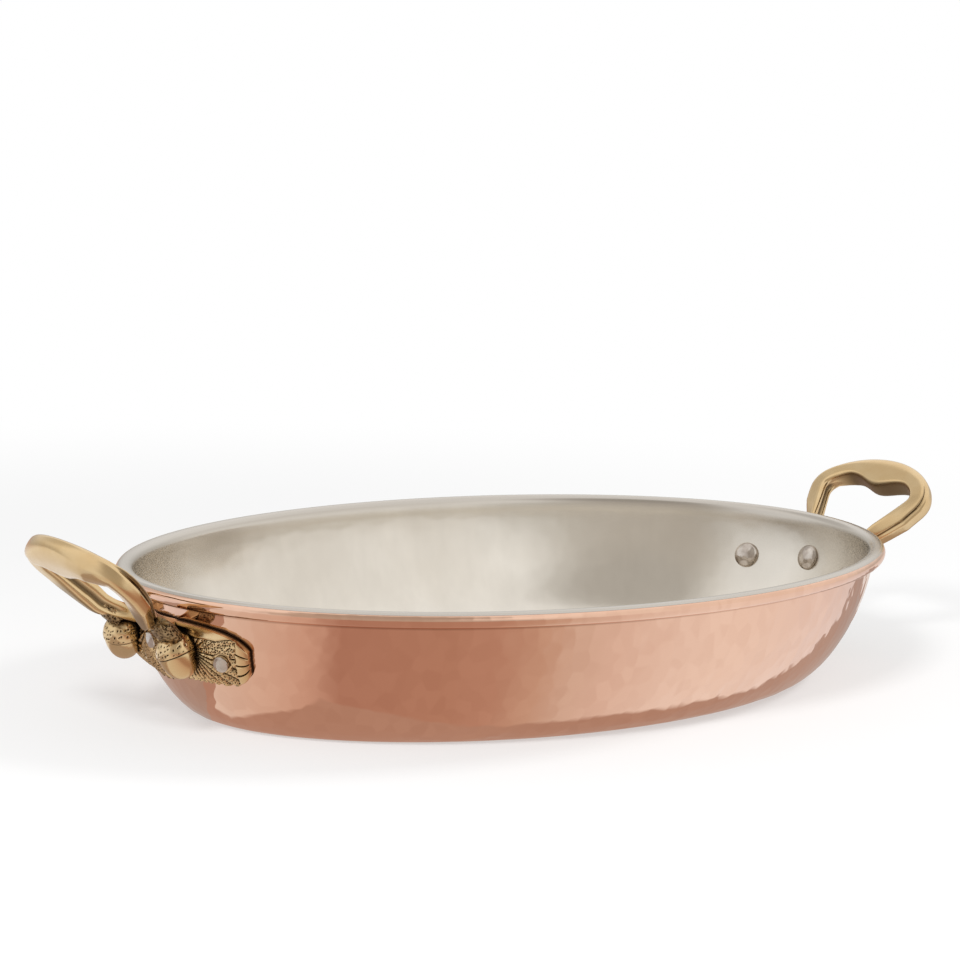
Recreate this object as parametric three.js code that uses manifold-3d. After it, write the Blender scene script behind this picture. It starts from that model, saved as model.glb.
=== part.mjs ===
// An oval roasting pan: a hammered copper bowl with a rolled rim, a tin lining inside it,
// and two cast brass handles, each held by three rivets through the end of the bowl.
// Millimetres, +Z up, +X along the pan. The origin is the middle of the base, on the table.
import * as THREE from "three";
import { LoftGeometry } from "three/addons/geometries/LoftGeometry.js";
import { mergeVertices } from "three/addons/utils/BufferGeometryUtils.js";
import Module from "manifold-3d";

const wasm = await Module();
wasm.setup();

// Bowl
const RIM_LENGTH = 350; // over the rolled rim, without the handles
const RIM_WIDTH = 236;
const RIM_HEIGHT = 55.3; // from the table to the top of the copper rim
const COPPER_THICKNESS = 2;
const ROLL_DIAMETER = 5.7; // the rolled edge of the rim
const ROLL_OVERLAP = 0.7; // how far the roll runs into the outer face of the wall
const WALL_LEAN = 27.2; // how far the wall leans in between the rim and the base
const WALL_CURVE = 1.55; // 1 is a straight slope, 2 is a quarter of an ellipse
const ROLL_START = THREE.MathUtils.degToRad(-108); // where the roll leaves the wall, from the horizontal

// Tin lining
const TIN_THICKNESS = 0.3;
const TIN_GAP = 0.1; // between the tin and the copper
const TIN_EDGE = THREE.MathUtils.degToRad(70); // where the tin ends, up the outside of the roll

// Rivets
const SHANK_DIAMETER = 5.6;
const HEAD_DIAMETER = 11; // the domed head inside the pan
const HEAD_HEIGHT = 3;
const END_DIAMETER = 6.4; // the hammered end outside
const END_HEIGHT = 1.4;
const END_BEVEL = 0.6; // share of the end's height and radius that its bevel leaves straight
const SIDE_RIVET_INSET = 11; // from the tip of the flange to a side rivet, along the rim's oval
const SIDE_RIVET_DROP = 22.3; // below the top of the rim
const CENTRE_RIVET_DROP = 18.8;

// Handle flange, which lies on the end of the bowl
const FLANGE_REACH = 47; // from its middle to each tip, along the rim's oval
const FLANGE_TOP_DROP = 10.6; // below the top of the rim
const FLANGE_BOTTOM_DROP = 31.2;
const FLANGE_THICKNESS = 4.6; // at its crown
const FLANGE_EDGE = 2.4; // thickness at its edge
const FLANGE_DIP = 2.6; // how far the middle leaf hangs below the bottom edge
const FLANGE_DIP_SPREAD = 10;
const FLANGE_END = 0.97; // share of the reach at which the rounded tips are cut off square
const FLANGE_TOP_CORNER = 4; // how square the corners are: 2 is an ellipse
const FLANGE_BOTTOM_CORNER = 14;
const FLANGE_CROWN = 2.5; // how flat the crown is across the flange
const FLANGE_CROWN_END = 6; // how late the crown falls away towards the tips

// Nuts cast on the flange
const NUT_SPREAD = 18.7; // from the middle of the flange, along the rim's oval
const NUT_DROP = 19; // below the top of the rim
const NUT_STANDOFF = 8.6; // from the wall to the axis of the nut
const NUT_LENGTH = 18;
const NUT_DIAMETER = 13.2;
const CAP_DIAMETER = 14.2;
const CAP_LENGTH = 7.5;
const NUT_SLOPE = THREE.MathUtils.degToRad(73); // how steeply its point hangs outwards and down

// Handle loop, drawn in its own leaning plane: x across the pan, y up the slope
const LOOP_TILT = THREE.MathUtils.degToRad(42.4);
const LOOP_STANDOFF = 3.5; // from the edge of the rim out to the root line of the loop
const LOOP_DROP = 14.6; // from the top of the rim down to the root line
const LEG_END = new THREE.Vector2(15.5, -13); // outer edge, inside the flange
const LEG_BOW = new THREE.Vector2(25, 9.5);
const SHOULDER = new THREE.Vector2(33, 27); // where the leg turns into the grip
const SHOULDER_BOW = new THREE.Vector2(38, 39.5);
const GRIP_BOW = 20;
const GRIP_TOP = 51.5; // from the root line to the outer edge of the grip
const LEG_WIDTH = 8.4;
const GRIP_WIDTH = 16; // at the belly in the middle of the grip
const BELLY_SPREAD = 22; // from the middle of the grip to where its belly ends
const LOOP_THICKNESS = 9.8;
const FLUTE_DEPTH = 1.1; // grooves along both sides of the legs
const FLUTE_WIDTH = 3;
const BAR_ROUNDING = 0.6; // 1 is a round bar, less is squarer
const GRIP_CREST = 2.8; // from the loop's plane up to the outermost line of the grip
const CREST_END = 0.75; // share of the way from the shoulder at which the crest is reached
const TAPER_START = 20; // up the slope, where a leg starts to grow into the grip
const TAPER_END = 38;
const LEG_OUTER_TOP = 1; // from the loop's plane to the faces of a leg, at its outer and inner sides
const LEG_INNER_TOP = 3.7;
const LEG_OUTER_BOTTOM = 3;
const LEG_INNER_BOTTOM = 4.4;
const LEG_SET_IN = 3.8; // from the loop's outer edge in to the outer side of a leg
const FOOT_CUT = 6.4; // up the slope, where the outer and lower parts of a leg are cut off
const FOOT_CUT_FALL = 0.01; // share of the leg over which the cut falls
const FOOT_WIDTH = 2.4; // what is left of a leg beyond the cut
const FOOT_BOTTOM = 0.8;
const FOOT_BEND_START = 9; // up the slope, where a foot starts to bend in towards the wall
const FOOT_BEND_RISE = 10; // how far the end of a leg stands out of the loop's plane
const FOOT_BEND_CURVE = 1.31;

// Fits
const FIT_GAP = 0.3; // between the pan, the flanges and the rivets
const HOLE_CLEARANCE = 0.25; // around a rivet's shank, on the radius
const SEAT_CLEARANCE = 0.5; // around a rivet's outer end, on the radius
const SEAT_REACH = 13; // how far above the flange the cut for a rivet's outer end goes

// Steps of the round shapes
const OVAL_STEPS = 60;
const WALL_STEPS = 8;
const ROLL_STEPS = 8;
const TIN_EDGE_STEPS = 2;
const FOOT_STEPS = 5;
const LEG_STEPS = 7;
const CUT_SEARCH_STEPS = 400;
const GRIP_STEPS = 10;
const SECTION_STEPS = 16;
const FLANGE_STEPS = 28;
const FLANGE_ROWS = 6;
const ROUND_STEPS = 16;
const DOME_STEPS = 5;
const WELD = 1e-4;

// Sizes that follow from the ones above
const HALF_LENGTH = RIM_LENGTH / 2;
const HALF_WIDTH = RIM_WIDTH / 2;
const ROLL_RADIUS = ROLL_DIAMETER / 2;
const RIM_OVERHANG = ROLL_DIAMETER - ROLL_OVERLAP;
const WALL_TOP = RIM_HEIGHT - ROLL_DIAMETER + ROLL_OVERLAP;
const END_CURVE_RADIUS = HALF_WIDTH ** 2 / HALF_LENGTH;
const LINING_DEPTH = COPPER_THICKNESS + TIN_GAP;
const INNER_FACE = LINING_DEPTH + TIN_THICKNESS;
const SIDE_RIVET_SPREAD = FLANGE_REACH - SIDE_RIVET_INSET;

// Looks
const COPPER = { color: 0xc98a6c, roughness: 0.16, metalness: 1 };
const TIN = { color: 0xcfc8bd, roughness: 0.32, metalness: 1 };
const BRASS = { color: 0xc9a96b, roughness: 0.28, metalness: 1 };
const RIVET = { color: 0xa39489, roughness: 0.35, metalness: 1 };

// A closed geometry as a solid for joining and cutting
function solidOf(geometry) {
  const plain = new THREE.BufferGeometry().copy(geometry);
  plain.deleteAttribute("normal");
  plain.deleteAttribute("uv");
  const welded = mergeVertices(plain, WELD);
  const corners = welded.index.array;
  const kept = [];
  for (let i = 0; i < corners.length; i += 3) {
    const [a, b, c] = corners.slice(i, i + 3);
    if (a !== b && b !== c && c !== a) kept.push(a, b, c);
  }
  const vertProperties = welded.attributes.position.array;
  return new wasm.Manifold(new wasm.Mesh({ numProp: 3, vertProperties, triVerts: new Uint32Array(kept) }));
}

function geometryOf(solid) {
  const mesh = solid.getMesh();
  const geometry = new THREE.BufferGeometry();
  geometry.setAttribute("position", new THREE.BufferAttribute(mesh.vertProperties, 3));
  geometry.setIndex(new THREE.BufferAttribute(mesh.triVerts, 1));
  geometry.computeVertexNormals();
  return geometry;
}

// A point of the bowl: the rim's oval moved inwards by inset, at a height
function ovalPoint(angle, inset, height) {
  const outward = new THREE.Vector2(Math.cos(angle) / HALF_LENGTH, Math.sin(angle) / HALF_WIDTH);
  outward.normalize();
  const x = HALF_LENGTH * Math.cos(angle) - inset * outward.x;
  const y = HALF_WIDTH * Math.sin(angle) - inset * outward.y;
  return new THREE.Vector3(x, y, height);
}

function ovalRing(inset, height) {
  const angles = Array.from({ length: OVAL_STEPS }, (_, i) => (2 * Math.PI * i) / OVAL_STEPS);
  return angles.map((angle) => ovalPoint(angle, inset, height));
}

function middleRing(height) {
  return Array.from({ length: OVAL_STEPS }, () => new THREE.Vector3(0, 0, height));
}

// The wall's outer curve as inset and height, from the rim (turn 0) to the base (a quarter turn)
function wallCurve(turn) {
  const power = 2 / WALL_CURVE;
  const inset = RIM_OVERHANG + WALL_LEAN * (1 - Math.cos(turn) ** power);
  const height = WALL_TOP * (1 - Math.sin(turn) ** power);
  return new THREE.Vector2(inset, height);
}

// The direction from the wall's outer face into the pan, as inset and height
function wallInward(turn) {
  const power = 2 - 2 / WALL_CURVE;
  const inward = new THREE.Vector2(Math.cos(turn) ** power / WALL_LEAN, Math.sin(turn) ** power / WALL_TOP);
  return inward.normalize();
}

function wallTurn(height) {
  return Math.asin((1 - height / WALL_TOP) ** (WALL_CURVE / 2));
}

// Rings of the wall from the rim to the base, moved inwards by depth
function wallRings(depth) {
  const turns = Array.from({ length: WALL_STEPS + 1 }, (_, i) => (i / WALL_STEPS) * (Math.PI / 2));
  return turns.map((turn) => {
    const point = wallCurve(turn).addScaledVector(wallInward(turn), depth);
    return ovalRing(point.x, point.y);
  });
}

// Rings round the outside of the roll, between two angles above the horizontal
function rollRings(from, to, depth, steps) {
  const radius = ROLL_RADIUS - depth;
  const angles = Array.from({ length: steps + 1 }, (_, i) => from + ((to - from) * i) / steps);
  return angles.map((angle) =>
    ovalRing(ROLL_RADIUS - radius * Math.cos(angle), RIM_HEIGHT - ROLL_RADIUS + radius * Math.sin(angle)),
  );
}

// Rings of the rim's shoulder, from the top of the roll down to the wall's inner face
function shoulderRings(depth) {
  const across = RIM_OVERHANG - ROLL_RADIUS + depth;
  const down = RIM_HEIGHT - COPPER_THICKNESS + depth - WALL_TOP;
  const angles = Array.from({ length: DOME_STEPS }, (_, i) => ((i + 1) / (DOME_STEPS + 1)) * (Math.PI / 2));
  return angles.map((angle) =>
    ovalRing(ROLL_RADIUS + across * Math.sin(angle), WALL_TOP + down * Math.cos(angle)),
  );
}

function loft(rings) {
  return solidOf(new LoftGeometry(rings));
}

function copperBowl() {
  const rings = [
    middleRing(0),
    ...wallRings(0).reverse(),
    ...rollRings(ROLL_START, Math.PI / 2, 0, ROLL_STEPS),
    ...shoulderRings(COPPER_THICKNESS),
    ...wallRings(COPPER_THICKNESS),
    middleRing(COPPER_THICKNESS),
  ];
  return loft(rings);
}

function tinLining() {
  const rings = [
    middleRing(LINING_DEPTH),
    ...wallRings(LINING_DEPTH).reverse(),
    ...shoulderRings(LINING_DEPTH).reverse(),
    ...rollRings(Math.PI / 2, TIN_EDGE, -TIN_GAP, TIN_EDGE_STEPS),
    ...rollRings(TIN_EDGE, Math.PI / 2, -TIN_GAP - TIN_THICKNESS, TIN_EDGE_STEPS),
    ...shoulderRings(INNER_FACE),
    ...wallRings(INNER_FACE),
    middleRing(INNER_FACE),
  ];
  return loft(rings);
}

// The bowl's outside with the fitting gap round it, which shapes the backs of the handles
function bowlEnvelope() {
  const rings = [middleRing(-FIT_GAP), ...wallRings(-FIT_GAP).reverse(), middleRing(WALL_TOP)];
  return loft(rings);
}

// The oval's angle at the right-hand end, for a distance along the wall from its middle
function endAngle(along) {
  return along / HALF_WIDTH;
}

// A frame on the wall at the right-hand end: X lies along the wall, Y points out of it and Z down it
function wallFrame(along, height) {
  const turn = wallTurn(height);
  const inward = wallInward(turn);
  const angle = endAngle(along);
  const level = new THREE.Vector3(Math.cos(angle) / HALF_LENGTH, Math.sin(angle) / HALF_WIDTH, 0);
  level.normalize();
  const outward = level.clone().multiplyScalar(inward.x);
  outward.z = -inward.y;
  const sideways = new THREE.Vector3(-level.y, level.x, 0);
  const downwards = new THREE.Vector3().crossVectors(sideways, outward);
  const place = ovalPoint(angle, wallCurve(turn).x, height);
  return new THREE.Matrix4().makeBasis(sideways, outward, downwards).setPosition(place);
}

function wallPoint(along, height, standoff) {
  return new THREE.Vector3(0, standoff, 0).applyMatrix4(wallFrame(along, height));
}

// Rivets

const RIVETS = [
  { place: "front", along: -SIDE_RIVET_SPREAD, height: RIM_HEIGHT - SIDE_RIVET_DROP },
  { place: "centre", along: 0, height: RIM_HEIGHT - CENTRE_RIVET_DROP },
  { place: "back", along: SIDE_RIVET_SPREAD, height: RIM_HEIGHT - SIDE_RIVET_DROP },
];

function turned(outline) {
  const points = outline.map(([radius, along]) => new THREE.Vector2(radius, along));
  return solidOf(new THREE.LatheGeometry(points, ROUND_STEPS));
}

function rod(radius, from, to) {
  return turned([
    [0, from],
    [radius, from],
    [radius, to],
    [0, to],
  ]);
}

// A rivet along Y, from its domed head inside the pan to its hammered end on the flange's face
function rivet(face) {
  const inside = -INNER_FACE - FIT_GAP;
  const wallBow = (HEAD_DIAMETER / 2) ** 2 / END_CURVE_RADIUS;
  const angles = Array.from({ length: DOME_STEPS + 1 }, (_, i) => (i / DOME_STEPS) * (Math.PI / 2));
  const dome = angles.map((angle) => [
    (HEAD_DIAMETER / 2) * Math.sin(angle),
    inside - wallBow - HEAD_HEIGHT * Math.cos(angle),
  ]);
  const outside = face + FIT_GAP;
  return turned([
    ...dome,
    [SHANK_DIAMETER / 2, inside],
    [SHANK_DIAMETER / 2, outside],
    [END_DIAMETER / 2, outside],
    [END_DIAMETER / 2, outside + END_BEVEL * END_HEIGHT],
    [END_BEVEL * (END_DIAMETER / 2), outside + END_HEIGHT],
    [0, outside + END_HEIGHT],
  ]);
}

// Holes for the shanks at the right-hand end, with a flat seat for each hammered end
function rivetHoles() {
  const holes = RIVETS.map(({ along, height }) => {
    const face = flangeFace(along, height);
    const hole = rod(SHANK_DIAMETER / 2 + HOLE_CLEARANCE, -INNER_FACE - HEAD_HEIGHT, face + END_HEIGHT);
    const seat = rod(END_DIAMETER / 2 + SEAT_CLEARANCE, face, face + SEAT_REACH);
    return hole.add(seat).transform(wallFrame(along, height).elements);
  });
  return holes.reduce((all, one) => all.add(one));
}

// Handles

// Places a point of the loop's own plane, with lift above that plane, at the right-hand end.
// The feet leave the plane and bend in towards the wall.
function loopPoint(across, slope, lift) {
  const bend = Math.max(0, FOOT_BEND_START - slope) / (FOOT_BEND_START - LEG_END.y);
  const rise = lift + FOOT_BEND_RISE * bend ** FOOT_BEND_CURVE;
  const x = HALF_LENGTH + LOOP_STANDOFF + slope * Math.cos(LOOP_TILT) - rise * Math.sin(LOOP_TILT);
  const z = RIM_HEIGHT - LOOP_DROP + slope * Math.sin(LOOP_TILT) + rise * Math.cos(LOOP_TILT);
  return new THREE.Vector3(x, across, z);
}

const mix = THREE.MathUtils.lerp;

// The faces of the loop at a place up its slope: a narrow, tapered leg that grows into the full grip
function barFaces(slope) {
  const full = LOOP_THICKNESS / 2;
  const grip = THREE.MathUtils.clamp((slope - TAPER_START) / (TAPER_END - TAPER_START), 0, 1);
  return {
    setIn: mix(LEG_SET_IN, 0, grip),
    outerTop: mix(LEG_OUTER_TOP, full, grip),
    innerTop: mix(LEG_INNER_TOP, full, grip),
    outerBottom: mix(LEG_OUTER_BOTTOM, full, grip),
    innerBottom: mix(LEG_INNER_BOTTOM, full, grip),
    outerFlute: grip,
    innerFlute: 1,
    crest: 0,
    width: LEG_WIDTH,
  };
}

// One section of the loop, between its outer edge and the width that lies inwards of it
function loopSection(edge, inwards, faces) {
  const squared = (value) => Math.sign(value) * Math.abs(value) ** BAR_ROUNDING;
  return Array.from({ length: SECTION_STEPS }, (_, i) => {
    const angle = (2 * Math.PI * i) / SECTION_STEPS;
    const inner = (1 - squared(Math.cos(angle))) / 2;
    const upright = squared(Math.sin(angle));
    const crest = mix(faces.crest, 0, inner);
    const top = mix(faces.outerTop, faces.innerTop, inner);
    const bottom = -mix(faces.outerBottom, faces.innerBottom, inner);
    const lift = mix(crest, upright < 0 ? bottom : top, Math.abs(upright));
    const flute = mix(faces.outerFlute, -faces.innerFlute, inner);
    const groove = flute * FLUTE_DEPTH * Math.exp(-((lift / (FLUTE_WIDTH / 2)) ** 2));
    const point = edge.clone().addScaledVector(inwards, mix(faces.setIn, faces.width, inner) + groove);
    return loopPoint(point.x, point.y, lift);
  });
}

// Sections from the end of a leg, over its cut foot and its shoulder, to the middle of the grip
function halfLoop() {
  const leg = new THREE.QuadraticBezierCurve(LEG_END, LEG_BOW, SHOULDER);
  const gripTop = new THREE.Vector2(0, GRIP_TOP);
  const gripBow = new THREE.Vector2(GRIP_BOW, GRIP_TOP);
  const grip = new THREE.CubicBezierCurve(SHOULDER, SHOULDER_BOW, gripBow, gripTop);
  const sections = [];
  const addSection = (curve, t, shape) => {
    const edge = curve.getPoint(t);
    const tangent = curve.getTangent(t);
    const inwards = new THREE.Vector2(-tangent.y, tangent.x);
    sections.push(loopSection(edge, inwards, { ...barFaces(edge.y), ...shape(edge, t) }));
  };

  const cut = leg.getPoints(CUT_SEARCH_STEPS).findIndex(({ y }) => y > FOOT_CUT) / CUT_SEARCH_STEPS;
  const foot = { setIn: LEG_WIDTH - FOOT_WIDTH, outerBottom: FOOT_BOTTOM, innerBottom: FOOT_BOTTOM };
  for (let i = 0; i <= FOOT_STEPS; i += 1) {
    addSection(leg, (cut - FOOT_CUT_FALL) * (i / FOOT_STEPS), () => ({ ...foot, innerFlute: 0 }));
  }
  for (let i = 0; i < LEG_STEPS; i += 1) {
    addSection(leg, mix(cut, 1, i / LEG_STEPS), () => ({}));
  }
  for (let i = 0; i <= GRIP_STEPS; i += 1) {
    addSection(grip, i / GRIP_STEPS, (edge, t) => {
      const belly = 0.5 + 0.5 * Math.cos(Math.PI * Math.min(1, edge.x / BELLY_SPREAD));
      const fade = Math.max(0, 1 - 2 * t);
      return {
        width: mix(LEG_WIDTH, GRIP_WIDTH, belly),
        crest: GRIP_CREST * Math.min(1, t / CREST_END),
        outerFlute: fade * barFaces(edge.y).outerFlute,
        innerFlute: fade,
      };
    });
  }
  return sections;
}

function handleLoop() {
  const near = halfLoop();
  const mirrored = ({ x, y, z }) => new THREE.Vector3(x, -y, z);
  const far = near.slice(0, -1).map((ring) => ring.map(mirrored));
  return solidOf(new LoftGeometry([...near, ...far.reverse()], { capStart: true, capEnd: true }));
}

// The flange's upper and lower edges at a distance along the rim's oval from its middle
function flangeEdges(along) {
  const share = Math.abs(along / FLANGE_REACH);
  const middle = RIM_HEIGHT - (FLANGE_TOP_DROP + FLANGE_BOTTOM_DROP) / 2;
  const half = (FLANGE_BOTTOM_DROP - FLANGE_TOP_DROP) / 2;
  const dip = FLANGE_DIP * Math.exp(-((along / FLANGE_DIP_SPREAD) ** 2));
  const top = middle + half * Math.sqrt(1 - share ** FLANGE_TOP_CORNER);
  const bottom = middle - half * Math.sqrt(1 - share ** FLANGE_BOTTOM_CORNER) - dip;
  return { top, bottom };
}

// How far the flange's face stands off the wall
function flangeFace(along, height) {
  const { top, bottom } = flangeEdges(along);
  const across = (2 * height - top - bottom) / (top - bottom);
  const crown = 1 - Math.abs(across) ** FLANGE_CROWN;
  const fall = 1 - Math.abs(along / FLANGE_REACH) ** FLANGE_CROWN_END;
  return FIT_GAP + FLANGE_EDGE + (FLANGE_THICKNESS - FLANGE_EDGE) * crown * fall;
}

function handleFlange() {
  const sections = [];
  const rows = Array.from({ length: FLANGE_ROWS + 1 }, (_, j) => j / FLANGE_ROWS);
  for (let i = 0; i <= FLANGE_STEPS; i += 1) {
    const along = FLANGE_REACH * FLANGE_END * ((2 * i) / FLANGE_STEPS - 1);
    const { top, bottom } = flangeEdges(along);
    const heights = rows.map((row) => bottom + (top - bottom) * row);
    const back = heights.map((height) => wallPoint(along, height, -FIT_GAP));
    const front = heights.map((height) => wallPoint(along, height, flangeFace(along, height)));
    sections.push([...back, ...front.reverse()]);
  }
  return solidOf(new LoftGeometry(sections, { capStart: true, capEnd: true }));
}

// A nut with its cap, point first along Y
function nut() {
  const bodyLength = NUT_LENGTH - CAP_LENGTH;
  const rounds = Array.from({ length: DOME_STEPS + 1 }, (_, i) => (i / DOME_STEPS) * (Math.PI / 2));
  const cap = rounds.map((angle) => [(CAP_DIAMETER / 2) * Math.sin(angle), -CAP_LENGTH * Math.cos(angle)]);
  const body = rounds.map((angle) => [(NUT_DIAMETER / 2) * Math.cos(angle), bodyLength * Math.sin(angle)]);
  return turned([...cap, ...body]);
}

function placedNut(side) {
  const point = new THREE.Vector3(side * Math.cos(NUT_SLOPE), 0, Math.sin(NUT_SLOPE));
  const turn = new THREE.Quaternion().setFromUnitVectors(new THREE.Vector3(0, 1, 0), point);
  const lift = new THREE.Matrix4().makeTranslation(0, NUT_STANDOFF, 0);
  const place = wallFrame(side * NUT_SPREAD, RIM_HEIGHT - NUT_DROP).multiply(lift);
  place.multiply(new THREE.Matrix4().makeRotationFromQuaternion(turn));
  return nut().transform(place.elements);
}

function brassHandle() {
  const ornament = placedNut(-1).add(placedNut(1));
  const casting = handleLoop().add(handleFlange()).add(ornament);
  return casting.subtract(bowlEnvelope()).subtract(rivetHoles());
}

// Assembly

function named(name, solid, look) {
  const mesh = new THREE.Mesh(geometryOf(solid), new THREE.MeshStandardMaterial(look));
  mesh.name = name;
  return mesh;
}

const pan = new THREE.Group();
const halfTurn = new THREE.Matrix4().makeRotationZ(Math.PI).elements;
const holes = rivetHoles();
const bothEnds = holes.add(holes.transform(halfTurn));
pan.add(named("pan_body", copperBowl().subtract(bothEnds), COPPER));
pan.add(named("tin_lining", tinLining().subtract(bothEnds), TIN));

const handle = brassHandle();
pan.add(named("handle_right", handle, BRASS));
pan.add(named("handle_left", handle.transform(halfTurn), BRASS));

for (const { place, along, height } of RIVETS) {
  const made = rivet(flangeFace(along, height));
  const opposite = made.transform(wallFrame(-along, height).elements).transform(halfTurn);
  pan.add(named(`rivet_right_${place}`, made.transform(wallFrame(along, height).elements), RIVET));
  pan.add(named(`rivet_left_${place}`, opposite, RIVET));
}

export default pan;
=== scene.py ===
"""An oval roasting pan: a planished copper bowl with a rolled rim, a wiped tin lining,
and two cast brass handles, each held by three rivets through an end of the bowl.
Pieces are shaped in millimetres, in the part's own frame, and scaled to metres when done."""

import math

import bmesh
import bpy
import numpy as np
from mathutils import Matrix, Vector
from mathutils.bvhtree import BVHTree


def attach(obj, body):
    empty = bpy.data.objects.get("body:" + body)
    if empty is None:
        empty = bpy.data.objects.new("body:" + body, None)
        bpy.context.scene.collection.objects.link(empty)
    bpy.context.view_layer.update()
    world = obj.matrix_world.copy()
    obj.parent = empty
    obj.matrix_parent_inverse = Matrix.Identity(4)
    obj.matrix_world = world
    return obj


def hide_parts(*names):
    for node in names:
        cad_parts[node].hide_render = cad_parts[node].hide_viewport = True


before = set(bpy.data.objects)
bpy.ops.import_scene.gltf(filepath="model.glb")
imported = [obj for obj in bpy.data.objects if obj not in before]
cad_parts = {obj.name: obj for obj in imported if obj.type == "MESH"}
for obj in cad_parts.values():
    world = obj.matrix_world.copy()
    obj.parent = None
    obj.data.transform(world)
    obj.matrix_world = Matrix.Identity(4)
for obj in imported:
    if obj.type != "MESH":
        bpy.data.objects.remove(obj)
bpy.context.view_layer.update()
MM = 0.001

# Bowl
RIM_LENGTH = 350
RIM_WIDTH = 236
RIM_HEIGHT = 55.3
COPPER_THICKNESS = 2
ROLL_DIAMETER = 5.7
ROLL_OVERLAP = 0.7  # how far the roll runs into the outer face of the wall
ROLL_START = math.radians(-108)  # where the roll leaves the wall, from the horizontal
WALL_LEAN = 27.2  # how far the wall leans in between the rim and the base
WALL_CURVE = 1.55  # 1 is a straight slope, 2 is a quarter of an ellipse
SHOULDER_SQUARENESS = 2.7  # how tightly the inside of the wall turns over into the roll
FLAT_RINGS = (0.06, 0.2, 0.4, 0.6, 0.8, 1)  # of the way from the edge of the flat to its middle

# Tin lining
TIN_DEPTH = 2.1  # from the outer face of the copper to the back of the tin
TIN_THICKNESS = 0.3
TIN_CROWN = 0.3  # how far the tin stands up on the top of the roll
TIN_EDGE_LIFT = 0.05  # and at its edge
TIN_BACK_LIFT = 0.02  # how far its back stands off the roll
TIN_EDGE = math.radians(50)  # where the tin ends, up the outside of the roll

# Planishing marks left by the hammer
MARK_ROWS = 14  # from the rim to the base
MARK_COLUMNS = 186  # round the bowl
MARK_SCATTER = 0.34  # of a mark's own size
MARK_DEPTH = 0.018
MARK_TILT = 0.014
MARK_EDGE = 0.0022  # how softly two marks meet
MARK_FADE = (0.05, 0.93)  # of the way down the wall: the marks are whole between these
MARK_SEED = 7
LINING_MARK_EDGE = 0.03
LINING_MARK_SHARE = 0.5  # of the marks that show through in the lining
DIMPLES = 185.0  # in a metre
DIMPLE_STRETCH = (1, 1, 0.7)
DIMPLE_DEPTH = 0.00014

# Rivets
SHANK_DIAMETER = 5.6
HEAD_DIAMETER = 11
HEAD_HEIGHT = 3
HEAD_EDGE = 0.3  # the upright edge of a head, and how far it is undercut
HEAD_GAP = 0.2  # between a head and the lining
END_DIAMETER = 6.4
END_HEIGHT = 1.4
END_ROUNDING = 0.45
END_CROWN = 0.45  # how far the hammered end domes up in its middle
STRUCK_FACES = 9  # flats that the hammer leaves on a head
STRUCK_SPREAD = (0.5, 0.5, 0.3)
STRUCK_LEVEL = 0.93
STRUCK_DEPTH = 0.6
SIDE_RIVET_SPREAD = 36  # from the middle of the flange, along the rim's oval
SIDE_RIVET_DROP = 22.3  # below the top of the rim
CENTRE_RIVET_DROP = 18.8
RIVET_SEED = 31

# Handle flange
FLANGE_REACH = 47
FLANGE_TOP_DROP = 10.6
FLANGE_BOTTOM_DROP = 32
FLANGE_TOP_SQUARENESS = 4
FLANGE_BOTTOM_SQUARENESS = 14
FLANGE_THICKNESS = 4.6
FLANGE_EDGE = 2.4
FLANGE_LEAST = 0.8  # the thinnest that the ornament leaves it
FLANGE_ROUNDING = 2.5  # how late its face falls off towards its edges
FLANGE_FALL = 6  # and towards its ends
FLANGE_DIP = 2.6
FLANGE_DIP_SPREAD = 10
FLANGE_END = 0.98
FIT_GAP = 0.3
FAN_START = (23.5, 36.4)  # along the flange and up, where its ribs spread from
RIBS = 30  # in a full turn
RIB_HEIGHT = 1.7
RIB_MIDDLE = 0.55
BROAD_LEAF = (-8, -2)  # degrees above level, where a broad leaf takes over from the ribs
HANGING_LEAF = (13, 9)  # from the middle of the flange, where the third leaf takes over
HANGING_LEAF_TOP = 41
STIPPLE_PITCH = 0.95
STIPPLE_SIZE = 0.42
STIPPLE_DEPTH = 0.4
STIPPLE_SEED = 11
PIT_CELLS = 61  # pits in a row before their pattern comes round again
LOBES = 4
LOBE_WIDTH = 4.6
LOBE_PUFF = 1.3
LOBE_DROP = 0.4
LOBE_GROOVE = 1.2
BAND_START = (8, 10)  # from the middle of the flange
BAND_WIDTH = ((8, 5.2), (20, 4.2), (34, 2.8), (40, 0.2))
BAND_RISE = 0.35
BAND_SLOPE = 0.1
BAND_GROOVE = 0.6
BAND_GROOVE_WIDTH = 0.7
STEP_EDGE = 0.25  # half the width of the step between two parts of the ornament
HOLLOW_PLACE = 16  # from the middle of the flange
HOLLOW_WIDTH = 6
HOLLOW_LEVEL = (34, 37.5)
HOLLOW_TOP = (0.8, 2)
HOLLOW_DEPTH = 2.2
# how much painted shade lies in those hollows
HOLLOW_SHADE = 0.5
SEAT_EDGE = (4.1, 3.5)  # round a rivet, where the ornament gives way to its seat
SEAT_PLAIN = (3.4, 3.9)  # and where the stippling starts
# The second value is painted shade: how much painted shade each point of a handle carries, in its
# hollows, creases, flutes and undersides
HANDLE_VALUES = ("stipple", "painted_shade")

# Nuts cast on the flange
NUT_SPREAD = 18.7
NUT_DROP = 19.0
NUT_STANDOFF = 8.6
NUT_LENGTH = 18
NUT_DIAMETER = 14.2
NUT_ROUNDNESS = 0.9
NUT_SEAT = 0.5  # from the widest place of the cap to that of the nut
NUT_STEP = 0.15
NUT_SLOPE = math.radians(73)
CAP_DIAMETER = 15
CAP_LENGTH = 7.5
CAP_LIP = (0.1, 0.35)  # how far the cap's lip turns in, and how far down
CAP_PIT_PITCH = 1.8
CAP_PIT_SIZE = 0.42
CAP_PIT_DEPTH = 0.5
CAP_PIT_SEED = 23
# painted shade on the top of each cap, under the foot of the loop
CAP_TOP_SHADE = 0.6

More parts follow.
